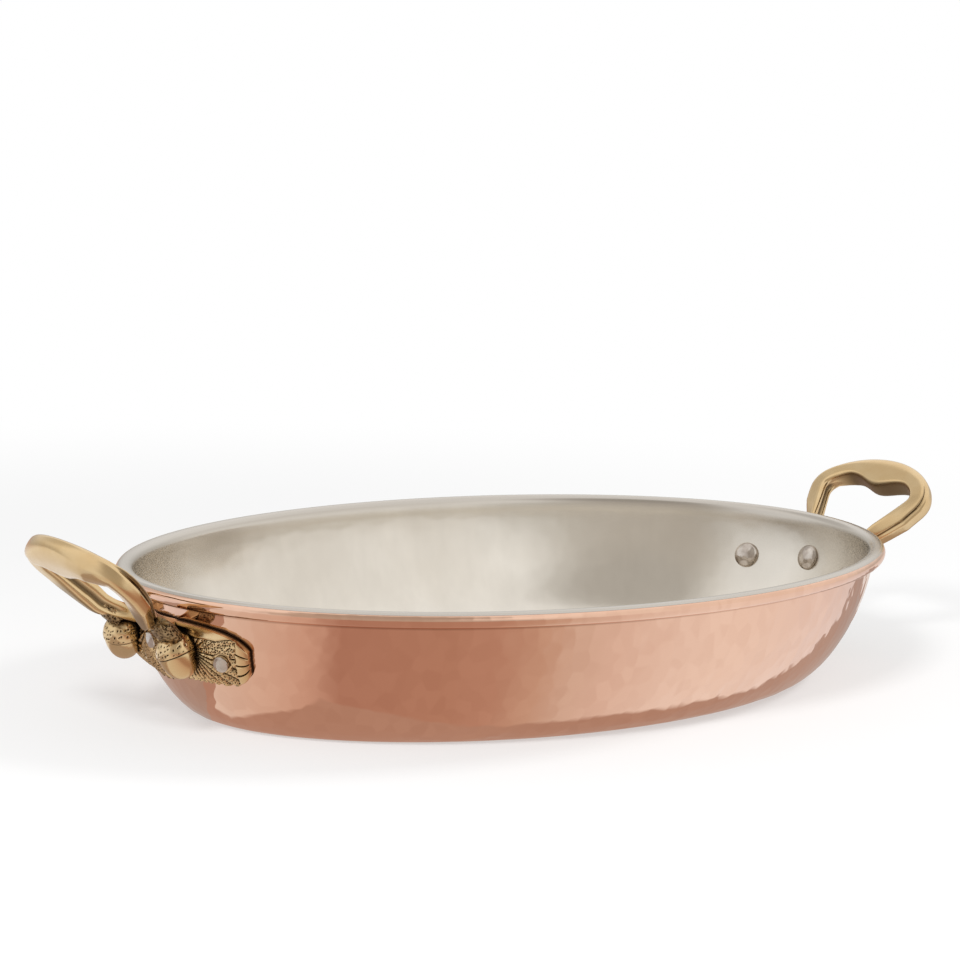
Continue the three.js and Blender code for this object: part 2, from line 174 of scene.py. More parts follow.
# Handle loop, in its own leaning plane: across the pan, then up the slope
LOOP_TILT = math.radians(42.4)
LOOP_STANDOFF = 3.5
LOOP_DROP = 14.6
LEG_END = (15.5, -13)
LEG_BOW = (25, 9.5)
SHOULDER = (33, 27)
SHOULDER_BOW = (38, 39.5)
GRIP_BOW = 20
GRIP_TOP = 51.5
LEG_WIDTH = 8.4
GRIP_WIDTH = 16
BELLY_SPREAD = 25
# The legs taper to their feet: how their faces stand from the loop's plane, up the slope
LEG_TOP_OUTSIDE = ((6, 1.0), (16, 2.6), (24, 3.8), (38, 4.7), (46, 4.2))
LEG_TOP_INSIDE = ((2, 5.0), (10, 6.2), (20, 5.6), (38, 4.8), (46, 4.2))
LEG_UNDER_OUTSIDE = ((10, -3.9), (34, -3.8), (40, -3.8), (47, -5.0))
LEG_UNDER_INSIDE = ((12, -4.0), (24, -3.2), (40, -3.2), (47, -6.4))
# How far in from the loop's outer edge a leg's outer side lies, up the slope
LEG_OUTER_SIDE = ((6, 3.2), (13, 0.8), (20, -1.2), (27, -0.5), (38, 0))
# The outermost line of the loop, which climbs from the flutes of the legs to the top of the grip
LOOP_CREST = ((28, 0.2), (36, 0.6), (42, 1.0), (50, 1.4))
INNER_FLUTE = ((-4, 0), (2, 1.3), (32, 1.3), (42, 0))
INNER_FLUTE_DROP = 0.4  # below the middle of a leg's inner side
OUTER_FLUTE = ((-4, 0.4), (10, 1.1), (26, 1.5), (33, 1.8), (38, 1.2), (46, 0))
OUTER_FLUTE_RISE = 2.4  # above the middle of a leg's outer side
INNER_FLUTE_WIDTH = 2.6
OUTER_FLUTE_WIDTH = 1.6
FOOT_BEND_START = 9  # up the slope, where a leg starts to bend in towards the wall
FOOT_BEND_RISE = 10  # how far the end of a leg stands out of the loop's plane
FOOT_BEND_CURVE = 1.31
FOOT_CUT = (24.2, 6.4)  # where the outer face of a leg is cut off
FOOT_CUT_LEAN = 0.55
FOOT_CUT_SLANT = 1.2
FOOT_FIN = 4.2  # what is left of a leg beyond its cuts, in width and below its plane
FOOT_FIN_DROP = 2.4
CUTTER_SIZE = 30
FIN_CUTTER_WIDTH = 20
WALL_BLOCK_HALF = 14  # up and down the wall, from the middle of the flange
WALL_BLOCK_FRONT = 1
WALL_BLOCK_DEPTH = 16
NECK_START = (22.0, 7.0, 0.8)  # across the pan, up the slope and above the loop's plane
NECK_END = (1.5, 0.5, 0.8)  # in and out from a nut's axis, and up its cap, as a share
NECK_WIDE = 4.2
NECK_NARROW = 5.8
NECK_BULGE = 0.8
NECK_SPREAD = 1.9  # how much wider it is along the wall
NECK_PIT_PITCH = 1.5
NECK_PIT_SIZE = 0.75
NECK_PIT_DEPTH = 0.1  # of the neck's own size
NECK_PIT_SEED = 37
# painted shade on each neck, with less of it away from its pits
NECK_SHADE = 0.66
NECK_WORN = 0.2
GRIP_SHARE = ((34, 0), (47, 1))
GRIP_TOP_SQUARENESS = (4.6, 2.15)  # of the inner half of the grip and of its outer half
GRIP_UNDER_SQUARENESS = (3.6, 2.15)
LEG_SQUARENESS = 3.6
EASED_CORNER = (24, 30)  # up the slope, where the easing of the inner corners sets in
LOOP_INSIDE_SHADE = 0.6  # painted shade: the inside of the loop is darker than its polished faces
LOOP_CORNER_SHADE = 0.31  # painted shade on the upper faces of its legs too
LOOP_FLUTE_SHADE = 0.62  # and in the flutes along their outer sides
LOOP_FOOT_SHADE = 0.45  # and on the undersides of their feet

# Patina and painted shade in the pits and hollows of the castings
PIT_GAIN = 2.2
HOLLOW_RAYS = 10
HOLLOW_REACH = 9.0
HOLLOW_START = 0.12

# Colours
COPPER = (0.85, 0.56, 0.42)
COPPER_DULLER = (0.785, 0.50, 0.37)
# painted shade in the crease where the roll meets the wall
COPPER_CREASE_SHADE = (0.30, 0.16, 0.10)
TIN = (0.82, 0.775, 0.705)
TIN_DULLER = (0.75, 0.70, 0.625)
# painted shade on the lining near the rim at each end
TIN_SHADE_AT_ENDS = (0.56, 0.52, 0.46)
TIN_STROKES = (0.62, 0.58, 0.52)
TIN_ON_ROLL = (0.58, 0.54, 0.49)
BRASS = (0.75, 0.56, 0.32)
BRASS_DULLER = (0.70, 0.50, 0.265)
# patina in the stippling and pits, and painted shade in the hollows, creases, flutes and undersides
BRASS_PATINA_AND_SHADE = (0.06, 0.036, 0.018)
RIVET_TIN = (0.66, 0.60, 0.54)
RIVET_DULLER = (0.46, 0.40, 0.35)
WHITE = (1, 1, 1)

# Studio: the floor as the metal mirrors it, by the way round the pan, and the room
FLOOR_COLOUR = (0.9, 0.9, 0.9)
FLOOR_LIFT = 0.5  # how far the floor is lifted to plain white near the pan
FLOOR_LIFT_REACH = (0.3, 0.75)  # and where the lift grows to the whole, in metres
FLOOR_TURN_POINT = 0.069  # from the pan's middle, in metres
FLOOR_IN_METAL = (
    (0.0, (0.75, 0.75, 0.78)),
    (0.12, (0.92, 0.92, 0.95)),
    (0.24, (0.98, 0.98, 0.98)),
    (0.3, (0.94, 0.93, 0.93)),
    (0.38, (0.84, 0.77, 0.74)),
    (0.43, (0.75, 0.67, 0.62)),
    (0.47, (0.66, 0.52, 0.44)),
    (0.53, (0.56, 0.38, 0.31)),
    (0.6, (0.52, 0.34, 0.27)),
    (0.755, (0.49, 0.31, 0.25)),
    (0.81, (0.70, 0.54, 0.47)),
    (0.89, (0.78, 0.68, 0.62)),
    (1.0, (0.85, 0.84, 0.82)),
)
FLOOR_SHADE = (
    (0.0, (0.48, 0.41, 0.38)),
    (0.12, (0.53, 0.42, 0.37)),
    (0.3, (0.52, 0.38, 0.32)),
    (1.0, (0.52, 0.37, 0.31)),
)
FLOOR_SHADE_EDGE = (  # how far the shade reaches from the base
    (0.0, 400),
    (0.03, 190),
    (0.06, 82),
    (0.085, 58),
    (0.13, 29),
    (0.19, 13.5),
    (0.3, 12),
    (0.55, 11),
    (0.785, 27),
    (0.83, 18),
    (0.945, 8),
    (0.98, 12),
    (1.0, 400),
)
SHADE_REACH = 0.4  # the furthest that the shade reaches, in metres
SHADE_SOFTNESS = 0.001
WORLD_LEVEL = 0.5
ROOM = (  # from straight down to straight up
    (0.0, (0.55, 0.53, 0.5)),
    (0.5, (0.55, 0.53, 0.5)),
    (0.56, (0.66, 0.64, 0.6)),
    (0.64, (0.9, 0.89, 0.87)),
    (0.75, (1.08, 1.07, 1.05)),
    (1.0, (1.0, 0.99, 0.98)),
)
# Pale on the left, dim behind the camera, above it and high up at the back, and pale on the right:
# the direction of each side, where it starts, where it is whole, and its colour
ROOM_SIDES = (
    ((-0.97, 0.1, 0.15), 0.7, 0.95, (0.95, 0.95, 0.95)),
    ((-0.62, -0.69, 0.37), 0.74, 0.97, (0.55, 0.51, 0.46)),
    ((-0.33, -0.52, 0.79), 0.86, 0.97, (0.5, 0.47, 0.43)),
    ((-0.17, 0.76, 0.63), 0.88, 0.96, (0.72, 0.71, 0.69)),
    ((0.75, -0.65, 0.1), 0.6, 0.9, (0.94, 0.92, 0.89)),
)
SOFTBOX_SIZE = 0.35
SOFTBOXES = (
    ("left softbox", (-1.0, -0.6, 1.0), 13.5),
    ("right softbox", (1.1, -0.35, 0.9), 8.5),
)

# Sizes that follow
HALF_LENGTH = RIM_LENGTH / 2
HALF_WIDTH = RIM_WIDTH / 2
ROLL_RADIUS = ROLL_DIAMETER / 2
RIM_OVERHANG = ROLL_DIAMETER - ROLL_OVERLAP
WALL_TOP = RIM_HEIGHT - ROLL_DIAMETER + ROLL_OVERLAP
ROLL_FOOT = RIM_HEIGHT - ROLL_DIAMETER
BASE_INSET = RIM_OVERHANG + WALL_LEAN
INNER_FACE = TIN_DEPTH + TIN_THICKNESS
SIDE_RIVET_HEIGHT = RIM_HEIGHT - SIDE_RIVET_DROP
CENTRE_RIVET_HEIGHT = RIM_HEIGHT - CENTRE_RIVET_DROP

# Steps of the meshes
OVAL_STEPS = 800
WALL_ROWS = 64
ROLL_ROWS = 18
SHOULDER_ROWS = 11
HIDDEN_ROWS = 8
LOOP_STATIONS = 110  # from a foot to the middle of the grip
CORNER_EASING = 60  # rounds of smoothing where the loop's sections crowd in its inner corners
SECTION_POINTS = 88
SECTION_SAMPLES = 1441  # the points that a section is drawn through before it is evened out
FLANGE_COLUMNS = 300
FLANGE_ROWS = 72
RIVET_STEPS = 48
NUT_STEPS = 96
NECK_STEPS = 48
NECK_RINGS = 24
SHARP_ANGLE = math.radians(50)
SLICES = 8  # a spun shape is one slice, copied round


def smooth(value, low, high):
    """0 below low and 1 above high, with a soft rise between; low may be the larger."""
    share = np.clip((value - low) / (high - low), 0, 1)
    return share * share * (3 - 2 * share)


# The bowl's surfaces


def oval(angle, inset):
    """Points on the rim's oval moved inwards, and the level direction out of it."""
    across = np.cos(angle) / HALF_LENGTH
    along = np.sin(angle) / HALF_WIDTH
    size = np.hypot(across, along)
    level_x, level_y = across / size, along / size
    x = HALF_LENGTH * np.cos(angle) - inset * level_x
    y = HALF_WIDTH * np.sin(angle) - inset * level_y
    return x, y, level_x, level_y


def wall_curve(turn, depth=0):
    """Inset and height of the wall, from the rim at turn 0 to the base at a quarter turn,
    with the direction into the pan."""
    power = 2 / WALL_CURVE
    cosine = np.clip(np.cos(turn), 0, 1)
    sine = np.clip(np.sin(turn), 0, 1)
    inset = RIM_OVERHANG + WALL_LEAN * (1 - cosine**power)
    height = WALL_TOP * (1 - sine**power)
    inwards = cosine ** (2 - power) / WALL_LEAN
    upwards = sine ** (2 - power) / WALL_TOP
    size = np.hypot(inwards, upwards)
    inwards, upwards = inwards / size, upwards / size
    return inset + depth * inwards, height + depth * upwards, inwards, upwards


def wall_turn(height):
    return np.arcsin(np.clip(1 - height / WALL_TOP, 0, 1) ** (WALL_CURVE / 2))


def wall_surface(angle, turn, standoff=0):
    """Places and outward directions on the wall."""
    inset, height, inwards, upwards = wall_curve(turn)
    x, y, level_x, level_y = oval(angle, inset)
    outward = np.stack([level_x * inwards, level_y * inwards, -upwards + 0 * level_x], axis=-1)
    place = np.stack([x, y, height + 0 * x], axis=-1)
    return place + outward * np.expand_dims(standoff + 0 * x, -1), outward


def even_turns(rows):
    """Turns of the wall from the rim to the base, evenly spaced along its curve."""
    turns = np.linspace(0, math.pi / 2, 2000)
    inset, height, _, _ = wall_curve(turns)
    run = np.concatenate([[0], np.cumsum(np.hypot(np.diff(inset), np.diff(height)))])
    return np.interp(np.linspace(0, run[-1], rows + 1), run, turns)


TURN_SAMPLES = even_turns(400)


def wall_share(turn):
    """How far down the wall a turn lies, from 0 at the rim to 1 at the base."""
    return np.interp(turn, TURN_SAMPLES, np.linspace(0, 1, len(TURN_SAMPLES)))


def hammer_marks():
    """The flat of each hammer mark: its middle, its direction and its depth."""
    rng = np.random.default_rng(MARK_SEED)
    shape = (MARK_ROWS, MARK_COLUMNS)
    row = np.arange(MARK_ROWS)[:, None] + 0.5 + rng.uniform(-1, 1, shape) * MARK_SCATTER
    column = np.arange(MARK_COLUMNS)[None, :] + rng.uniform(-1, 1, shape) * MARK_SCATTER
    column = column + 0.5 * (np.arange(MARK_ROWS) % 2)[:, None]
    turn = np.interp(row / MARK_ROWS, np.linspace(0, 1, len(TURN_SAMPLES)), TURN_SAMPLES)
    middle, facing = wall_surface(column / MARK_COLUMNS * 2 * math.pi, turn)
    facing = facing + rng.normal(0, MARK_TILT, facing.shape)
    facing /= np.linalg.norm(facing, axis=-1, keepdims=True)
    return middle, facing, rng.uniform(0, MARK_DEPTH, shape)


MARKS = hammer_marks()


def planished(angle, turn, edge):
    """How far the hammer marks push each point of the wall out or in."""
    middle, facing, depth = MARKS
    place, outward = wall_surface(angle, turn)
    row = np.floor(wall_share(turn) * MARK_ROWS).astype(int)
    column = np.floor(angle / (2 * math.pi) * MARK_COLUMNS).astype(int)
    total = np.zeros(len(angle))
    for down in (-1, 0, 1):
        for round_ in (-2, -1, 0, 1, 2):
            i = np.clip(row + down, 0, MARK_ROWS - 1)
            j = (column + round_) % MARK_COLUMNS
            reach = ((middle[i, j] - place) * facing[i, j]).sum(-1) - depth[i, j]
            level = reach / (outward * facing[i, j]).sum(-1)
            total += np.exp(-level / edge)
    return -edge * np.log(total)


# Making pieces


def coordinates(mesh):
    co = np.empty(len(mesh.vertices) * 3)
    mesh.vertices.foreach_get("co", co)
    return co.reshape(-1, 3)


def mesh_of(bm, name, place):
    """A mesh from a bmesh; place maps its coordinates to the piece's own."""
    mesh = bpy.data.meshes.new(name)
    bm.to_mesh(mesh)
    bm.free()
    mesh.vertices.foreach_set("co", np.ascontiguousarray(place(coordinates(mesh))).ravel())
    mesh.update()
    return mesh


def finished(name, mesh, material, node):
    """Puts a mesh in the scene in metres, in place of a CAD node."""
    mesh.transform(Matrix.Scale(MM, 4))
    mesh.shade_smooth()
    mesh.set_sharp_from_angle(angle=SHARP_ANGLE)
    mesh.materials.clear()
    mesh.materials.append(material)
    piece = bpy.data.objects.new(name, mesh)
    bpy.context.scene.collection.objects.link(piece)
    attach(piece, "root")
    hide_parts(node)


def spun(profile, steps):
    """A bmesh of a profile of radii and heights, spun about Z a slice at a time."""
    bm = bmesh.new()
    verts = [bm.verts.new((radius, 0, height)) for radius, height in profile]
    edges = [bm.edges.new(pair) for pair in zip(verts, verts[1:])]
    slice_angle = 2 * math.pi / SLICES
    bmesh.ops.spin(
        bm, geom=verts + edges, cent=(0, 0, 0), axis=(0, 0, 1), angle=slice_angle, steps=steps // SLICES
    )
    first = bm.verts[:] + bm.edges[:] + bm.faces[:]
    for k in range(1, SLICES):
        copy = bmesh.ops.duplicate(bm, geom=first)["geom"]
        turned = [part for part in copy if isinstance(part, bmesh.types.BMVert)]
        turn = Matrix.Rotation(k * slice_angle, 3, "Z")
        bmesh.ops.rotate(bm, verts=turned, cent=(0, 0, 0), matrix=turn)
    bmesh.ops.remove_doubles(bm, verts=bm.verts, dist=1e-4)
    bmesh.ops.recalc_face_normals(bm, faces=bm.faces)
    return bm


def floor_insets():
    """Insets across the flat of the pan, from its edge to its middle."""
    return [BASE_INSET + (HALF_WIDTH - BASE_INSET) * share for share in FLAT_RINGS]


def wall_profile(depth, rows):
    inset, height, _, _ = wall_curve(even_turns(rows), depth)
    return list(zip(inset, height))


def shoulder_profile(depth):
    """From the top of the roll down to the wall's inner face."""
    across = RIM_OVERHANG - ROLL_RADIUS + depth
    down = RIM_HEIGHT - COPPER_THICKNESS + depth - WALL_TOP
    angles = np.linspace(0, math.pi / 2, SHOULDER_ROWS + 2)[1:-1]
    power = 2 / SHOULDER_SQUARENESS
    return [
        (ROLL_RADIUS + across * math.sin(a) ** power, WALL_TOP + down * math.cos(a) ** power)
        for a in angles
    ]


def roll_profile(start, end, lift, rows):
    """Round the outside of the roll; lift goes from its first value to its second."""
    points = []
    for share in np.linspace(0, 1, rows + 1):
        angle = start + (end - start) * share
        radius = ROLL_RADIUS + lift[0] + (lift[1] - lift[0]) * share
        height = RIM_HEIGHT - ROLL_RADIUS + radius * math.sin(angle)
        points.append((ROLL_RADIUS - radius * math.cos(angle), height))
    return points


def on_oval(co, edge, face, share_of_marks=1.0):
    """Spun points moved onto the pan's oval, with the hammer marks on the given face."""
    angle = np.arctan2(co[:, 1], co[:, 0]) % (2 * math.pi)
    reach = np.hypot(co[:, 0], co[:, 1])
    inset = HALF_WIDTH - reach
    flat = np.maximum(inset - BASE_INSET, 0) / (HALF_WIDTH - BASE_INSET)
    x, y, level_x, level_y = oval(angle, np.minimum(inset, BASE_INSET))
    placed = np.stack([x * (1 - flat), y * (1 - flat), co[:, 2]], axis=-1)
    on_wall, turn = face(inset, co[:, 2])
    push = np.zeros(len(co))
    push[on_wall] = planished(angle[on_wall], turn[on_wall], edge)
    share = wall_share(turn)
    push *= share_of_marks * smooth(share, 0, MARK_FADE[0]) * smooth(share, 1, MARK_FADE[1])
    _, _, inwards, upwards = wall_curve(turn)
    placed += push[:, None] * np.stack([level_x * inwards, level_y * inwards, -upwards], axis=-1)
    return placed


def outer_face(inset, height):
    turn = wall_turn(np.clip(height, 0, WALL_TOP))
    on_wall = np.abs(inset - wall_curve(turn)[0]) < 0.4 * COPPER_THICKNESS
    return on_wall & (height < WALL_TOP - 0.01) & (height > 0), turn


def inner_face(inset, height):
    samples = even_turns(600)
    inner_inset, inner_height, _, _ = wall_curve(samples, INNER_FACE)
    order = np.argsort(inner_height)
    turn = np.interp(height, inner_height[order], samples[order])
    on_wall = np.abs(inset - np.interp(height, inner_height[order], inner_inset[order])) < 0.1
    return on_wall & (height < WALL_TOP) & (height > INNER_FACE), turn


def spun_oval(name, profile, *marks):
    """A mesh of a profile of insets and heights, spun and set on the oval with hammer marks."""
    bm = spun([(HALF_WIDTH - inset, height) for inset, height in profile], OVAL_STEPS)
    return mesh_of(bm, name, lambda co: on_oval(co, *marks))


def copper_bowl(material):
    profile = [(inset, 0) for inset in reversed(floor_insets())]
    profile += reversed(wall_profile(0, WALL_ROWS))
    profile += roll_profile(ROLL_START, math.pi / 2, (0, 0), ROLL_ROWS)
    profile += shoulder_profile(COPPER_THICKNESS)
    profile += wall_profile(COPPER_THICKNESS, HIDDEN_ROWS)
    profile += [(inset, COPPER_THICKNESS) for inset in floor_insets()]
    mesh = spun_oval("copper_bowl", profile, MARK_EDGE, outer_face)
    finished("copper_bowl", mesh, material, "pan_body")


def tin_lining(material):
    top = math.pi / 2
    profile = [(inset, TIN_DEPTH) for inset in reversed(floor_insets())]
    profile += reversed(wall_profile(TIN_DEPTH, HIDDEN_ROWS))
    profile += reversed(shoulder_profile(TIN_DEPTH))
    profile += roll_profile(top, TIN_EDGE, (TIN_BACK_LIFT, TIN_BACK_LIFT), 3)
    profile += roll_profile(TIN_EDGE, top, (TIN_EDGE_LIFT, TIN_CROWN), 6)
    profile += shoulder_profile(COPPER_THICKNESS + TIN_CROWN)
    profile += wall_profile(INNER_FACE, WALL_ROWS)
    profile += [(inset, INNER_FACE) for inset in floor_insets()]
    mesh = spun_oval("tin_lining_skin", profile, LINING_MARK_EDGE, inner_face, LINING_MARK_SHARE)
    finished("tin_lining_skin", mesh, material, "tin_lining")


# Places on the right-hand end of the wall


def wall_frame(along, height):
    """A frame on the wall: X along it, Y out of it, Z down it."""
    turn = np.array([float(wall_turn(height))])
    place, outward = wall_surface(np.array([along / HALF_WIDTH]), turn)
    outward = Vector(outward[0])
    sideways = Vector((-outward.y, outward.x, 0)).normalized()
    downwards = sideways.cross(outward)
    turn = Matrix((sideways, outward, downwards)).transposed().to_4x4()
    return Matrix.Translation(Vector(place[0])) @ turn


def on_wall(along, height, standoff):
    return wall_surface(along / HALF_WIDTH, wall_turn(height), standoff)[0]


# Rivets

RIVETS = (
    ("front", -SIDE_RIVET_SPREAD, SIDE_RIVET_HEIGHT),
    ("centre", 0, CENTRE_RIVET_HEIGHT),
    ("back", SIDE_RIVET_SPREAD, SIDE_RIVET_HEIGHT),
)


def rivet_profile(face):
    """Radii and places along the rivet, from its domed head to its hammered end."""
    inside = -INNER_FACE - HEAD_GAP
    outside = face + FIT_GAP
    head, shank, end = HEAD_DIAMETER / 2, SHANK_DIAMETER / 2, END_DIAMETER / 2
    points = [
        (head * math.sin(a), inside - HEAD_EDGE - (HEAD_HEIGHT - HEAD_EDGE) * math.cos(a))
        for a in np.linspace(0, math.pi / 2, 14)
    ]
    points += [(head - HEAD_EDGE, inside), (shank, inside + 0.1), (shank, outside), (end, outside)]
    points += [
        (end - END_ROUNDING * (1 - math.cos(a)), outside + END_HEIGHT - END_ROUNDING * (1 - math.sin(a)))
        for a in np.linspace(0, math.pi / 2, 6)
    ]
    points += [
        (end * share, outside + END_HEIGHT + END_CROWN * (1 - share**2))
        for share in (0.7, 0.5, 0.3, 0)
    ]
    return points


def rivet(name, side, along, height, seed, material):
    rng = np.random.default_rng(seed)
    bm = spun(rivet_profile(flange_face(along, height)), RIVET_STEPS)
    facets = rng.normal(0, 1, (STRUCK_FACES, 3)) * STRUCK_SPREAD + (0, 0, -1)
    facets /= np.linalg.norm(facets, axis=1, keepdims=True)
    middle = np.array([0, 0, -INNER_FACE - HEAD_GAP])

    def dented(co):
        """Flattens the dome a little where the hammer struck it."""
        head = np.minimum((co[:, 2] - middle[2]) / -HEAD_HEIGHT, 1)
        unit = (co - middle) / (HEAD_DIAMETER / 2, HEAD_DIAMETER / 2, HEAD_HEIGHT)
        over = np.max(unit @ facets.T, axis=1) - STRUCK_LEVEL
        shrink = 1 - STRUCK_DEPTH * np.clip(over, 0, 0.2) * (head > 0.05)
        return middle + (co - middle) * shrink[:, None]

    mesh = mesh_of(bm, name, dented)
    upright = Matrix.Rotation(-math.pi / 2, 4, "X")
    half_turn = Matrix.Rotation(math.pi if side == "left" else 0, 4, "Z")
    mesh.transform(half_turn @ wall_frame(-along if side == "left" else along, height) @ upright)
    finished(name, mesh, material, name.replace("_dressed", ""))


# Handles


def flange_edges(along):
    """The heights of the flange's upper and lower edges."""
    share = np.clip(np.abs(along) / FLANGE_REACH, 0, 1)
    middle = RIM_HEIGHT - (FLANGE_TOP_DROP + FLANGE_BOTTOM_DROP) / 2
    half = (FLANGE_BOTTOM_DROP - FLANGE_TOP_DROP) / 2
    dip = FLANGE_DIP * np.exp(-((along / FLANGE_DIP_SPREAD) ** 2))
    top = middle + half * np.sqrt(1 - share**FLANGE_TOP_SQUARENESS)
    return top, middle - half * np.sqrt(1 - share**FLANGE_BOTTOM_SQUARENESS) - dip


def flange_face(along, height):
    """How far the plain flange's face stands off the wall."""
    top, bottom = flange_edges(along)
    across = np.clip(np.abs((2 * height - top - bottom) / (top - bottom)), 0, 1)
    fall = 1 - np.clip(np.abs(along) / FLANGE_REACH, 0, 1) ** FLANGE_FALL
    rise = (FLANGE_THICKNESS - FLANGE_EDGE) * (1 - across**FLANGE_ROUNDING) * fall
    return FIT_GAP + FLANGE_EDGE + rise


def pits(x, y, pitch, size, seed):
    """How deep each point lies in one of many scattered round pits, from 0 to 1."""
    table = np.random.default_rng(seed).uniform(0, 1, (PIT_CELLS, PIT_CELLS, 3))
    i, j = np.floor(x / pitch).astype(int), np.floor(y / pitch).astype(int)
    deepest = np.zeros(len(x))
    for right in (-1, 0, 1):
        for up in (-1, 0, 1):
            cell = table[(i + right) % PIT_CELLS, (j + up) % PIT_CELLS]
            far_x = (i + right + 0.15 + 0.7 * cell[:, 0]) * pitch - x
            far_y = (j + up + 0.15 + 0.7 * cell[:, 1]) * pitch - y
            radius = size * (0.6 + 0.5 * cell[:, 2])
            deepest = np.maximum(deepest, 1 - (far_x**2 + far_y**2) / radius**2)
    return np.clip(deepest, 0, 1)


def fan(x, y, ribs):
    """Rounded ribs that spread from a point, from 0 in the grooves to 1 on the crests."""
    return np.abs(np.cos(np.arctan2(y, x) * ribs / 2)) ** 0.7


def flange_relief(along, height):
    """The flange's face with its leaves, end lobes, top band and rivet seats, and how far each
    point lies in stippled metal and how much painted shade it carries in a hollow."""
    side = np.abs(along)
    top, bottom = flange_edges(along)
    plain = flange_face(along, height)
    to_end = FLANGE_REACH * FLANGE_END - side
    to_top = top - height
    lobes = smooth(to_end, LOBE_WIDTH + STEP_EDGE, LOBE_WIDTH - STEP_EDGE)
    band_width = np.interp(side, *zip(*BAND_WIDTH))
    band = smooth(to_top, band_width + STEP_EDGE, band_width - STEP_EDGE)
    band = band * smooth(side, *BAND_START) * (1 - lobes)
    leaf = (1 - lobes) * (1 - band)

    # A broad leaf and thin ribs spread from beside each nut, and a third leaf hangs between them
    from_x, from_y = side - FAN_START[0], height - FAN_START[1]
    reach = np.hypot(from_x, from_y)
    rise = np.degrees(np.arctan2(from_y, from_x))
    broad = smooth(rise, *BROAD_LEAF)
    thick = 0.45 + 0.35 * fan(from_x, from_y, RIBS / 2)
    ribs = fan(from_x, from_y, RIBS) * (1 - broad) + thick * broad
    ribs = 0.5 + (ribs - 0.5) * smooth(reach, 0.5, 4)
    middle = smooth(side, *HANGING_LEAF)
    hanging = fan(height - HANGING_LEAF_TOP, along, RIBS)
    ribs = ribs * (1 - middle) + hanging * middle
    grain = pits(along, height, STIPPLE_PITCH, STIPPLE_SIZE, STIPPLE_SEED)
    stipple = leaf * np.clip(1.4 - 0.75 * ribs + 0.5 * broad, 0, 1)
    relief = leaf * (RIB_HEIGHT * (ribs - RIB_MIDDLE) - STIPPLE_DEPTH * grain * stipple)

    # Puffed lobes round the end, parted by thin grooves
    lobe_at = LOBES * (height - bottom) / (top - bottom)
    part = np.abs(2 * (lobe_at % 1) - 1)
    puff = np.sqrt(np.clip(1 - (to_end / LOBE_WIDTH - 0.55) ** 2 / 0.36, 0, 1))
    relief += lobes * (LOBE_PUFF * puff - LOBE_DROP - LOBE_GROOVE * smooth(part, 0.72, 1))
    groove = smooth(to_top, band_width - BAND_GROOVE_WIDTH, band_width)
    relief += band * (BAND_RISE + BAND_SLOPE * to_top - BAND_GROOVE * groove)

    # A hollow on each side of the middle rivet, behind the feet of the loop, with painted shade in it
    hollow = np.exp(-(((side - HOLLOW_PLACE) / HOLLOW_WIDTH) ** 2))
    hollow = hollow * smooth(height, *HOLLOW_LEVEL) * smooth(to_top, *HOLLOW_TOP)
    relief -= HOLLOW_DEPTH * hollow
    stipple = np.maximum(stipple, hollow)

    face = plain + relief
    for _, place, level in RIVETS:
        near = np.hypot(along - place, height - level)
        seat = flange_face(np.array([place]), np.array([level]))[0]
        face += (seat - face) * smooth(near, *SEAT_EDGE)
        stipple = stipple * smooth(near, *SEAT_PLAIN)
    return np.maximum(face, FIT_GAP + FLANGE_LEAST), stipple, HOLLOW_SHADE * hollow


def slab(columns, rows):
    """A bmesh of a flat grid with a second one above it, closed round the edge."""
    bm = bmesh.new()
    bmesh.ops.create_grid(bm, x_segments=columns, y_segments=rows, size=1)
    fronts = bmesh.ops.extrude_face_region(bm, geom=bm.faces[:])["geom"]
    corners = [part for part in fronts if isinstance(part, bmesh.types.BMVert)]
    bmesh.ops.translate(bm, verts=corners, vec=(0, 0, 1))
    return bm


def flange_mesh():
    bm = slab(FLANGE_COLUMNS, FLANGE_ROWS)
    values = {}

    def draped(co):
        along = co[:, 0] * FLANGE_REACH * FLANGE_END
        top, bottom = flange_edges(along)
        height = bottom + (top - bottom) * (co[:, 1] + 1) / 2
        front = co[:, 2] > 0.5
        face, stipple, hollow = flange_relief(along, height)
        values["stipple"] = np.where(front, stipple, 0)
        # Painted shade: at full strength on the back and sides of the flange, and in the hollows of its
        # face
        values["painted_shade"] = np.where(front, hollow, 1)
        return on_wall(along, height, np.where(front, face, FIT_GAP))

    bmesh.ops.recalc_face_normals(bm, faces=bm.faces)
    return valued(mesh_of(bm, "flange", draped), values)


def valued(mesh, values):
    """The mesh with a value at each point for every name in HANDLE_VALUES."""
    for name in HANDLE_VALUES:
        given = values.get(name, np.zeros(len(mesh.vertices)))
        layer = mesh.attributes.new(name, "FLOAT", "POINT")
        layer.data.foreach_set("value", np.asarray(given, np.float32))
    return mesh


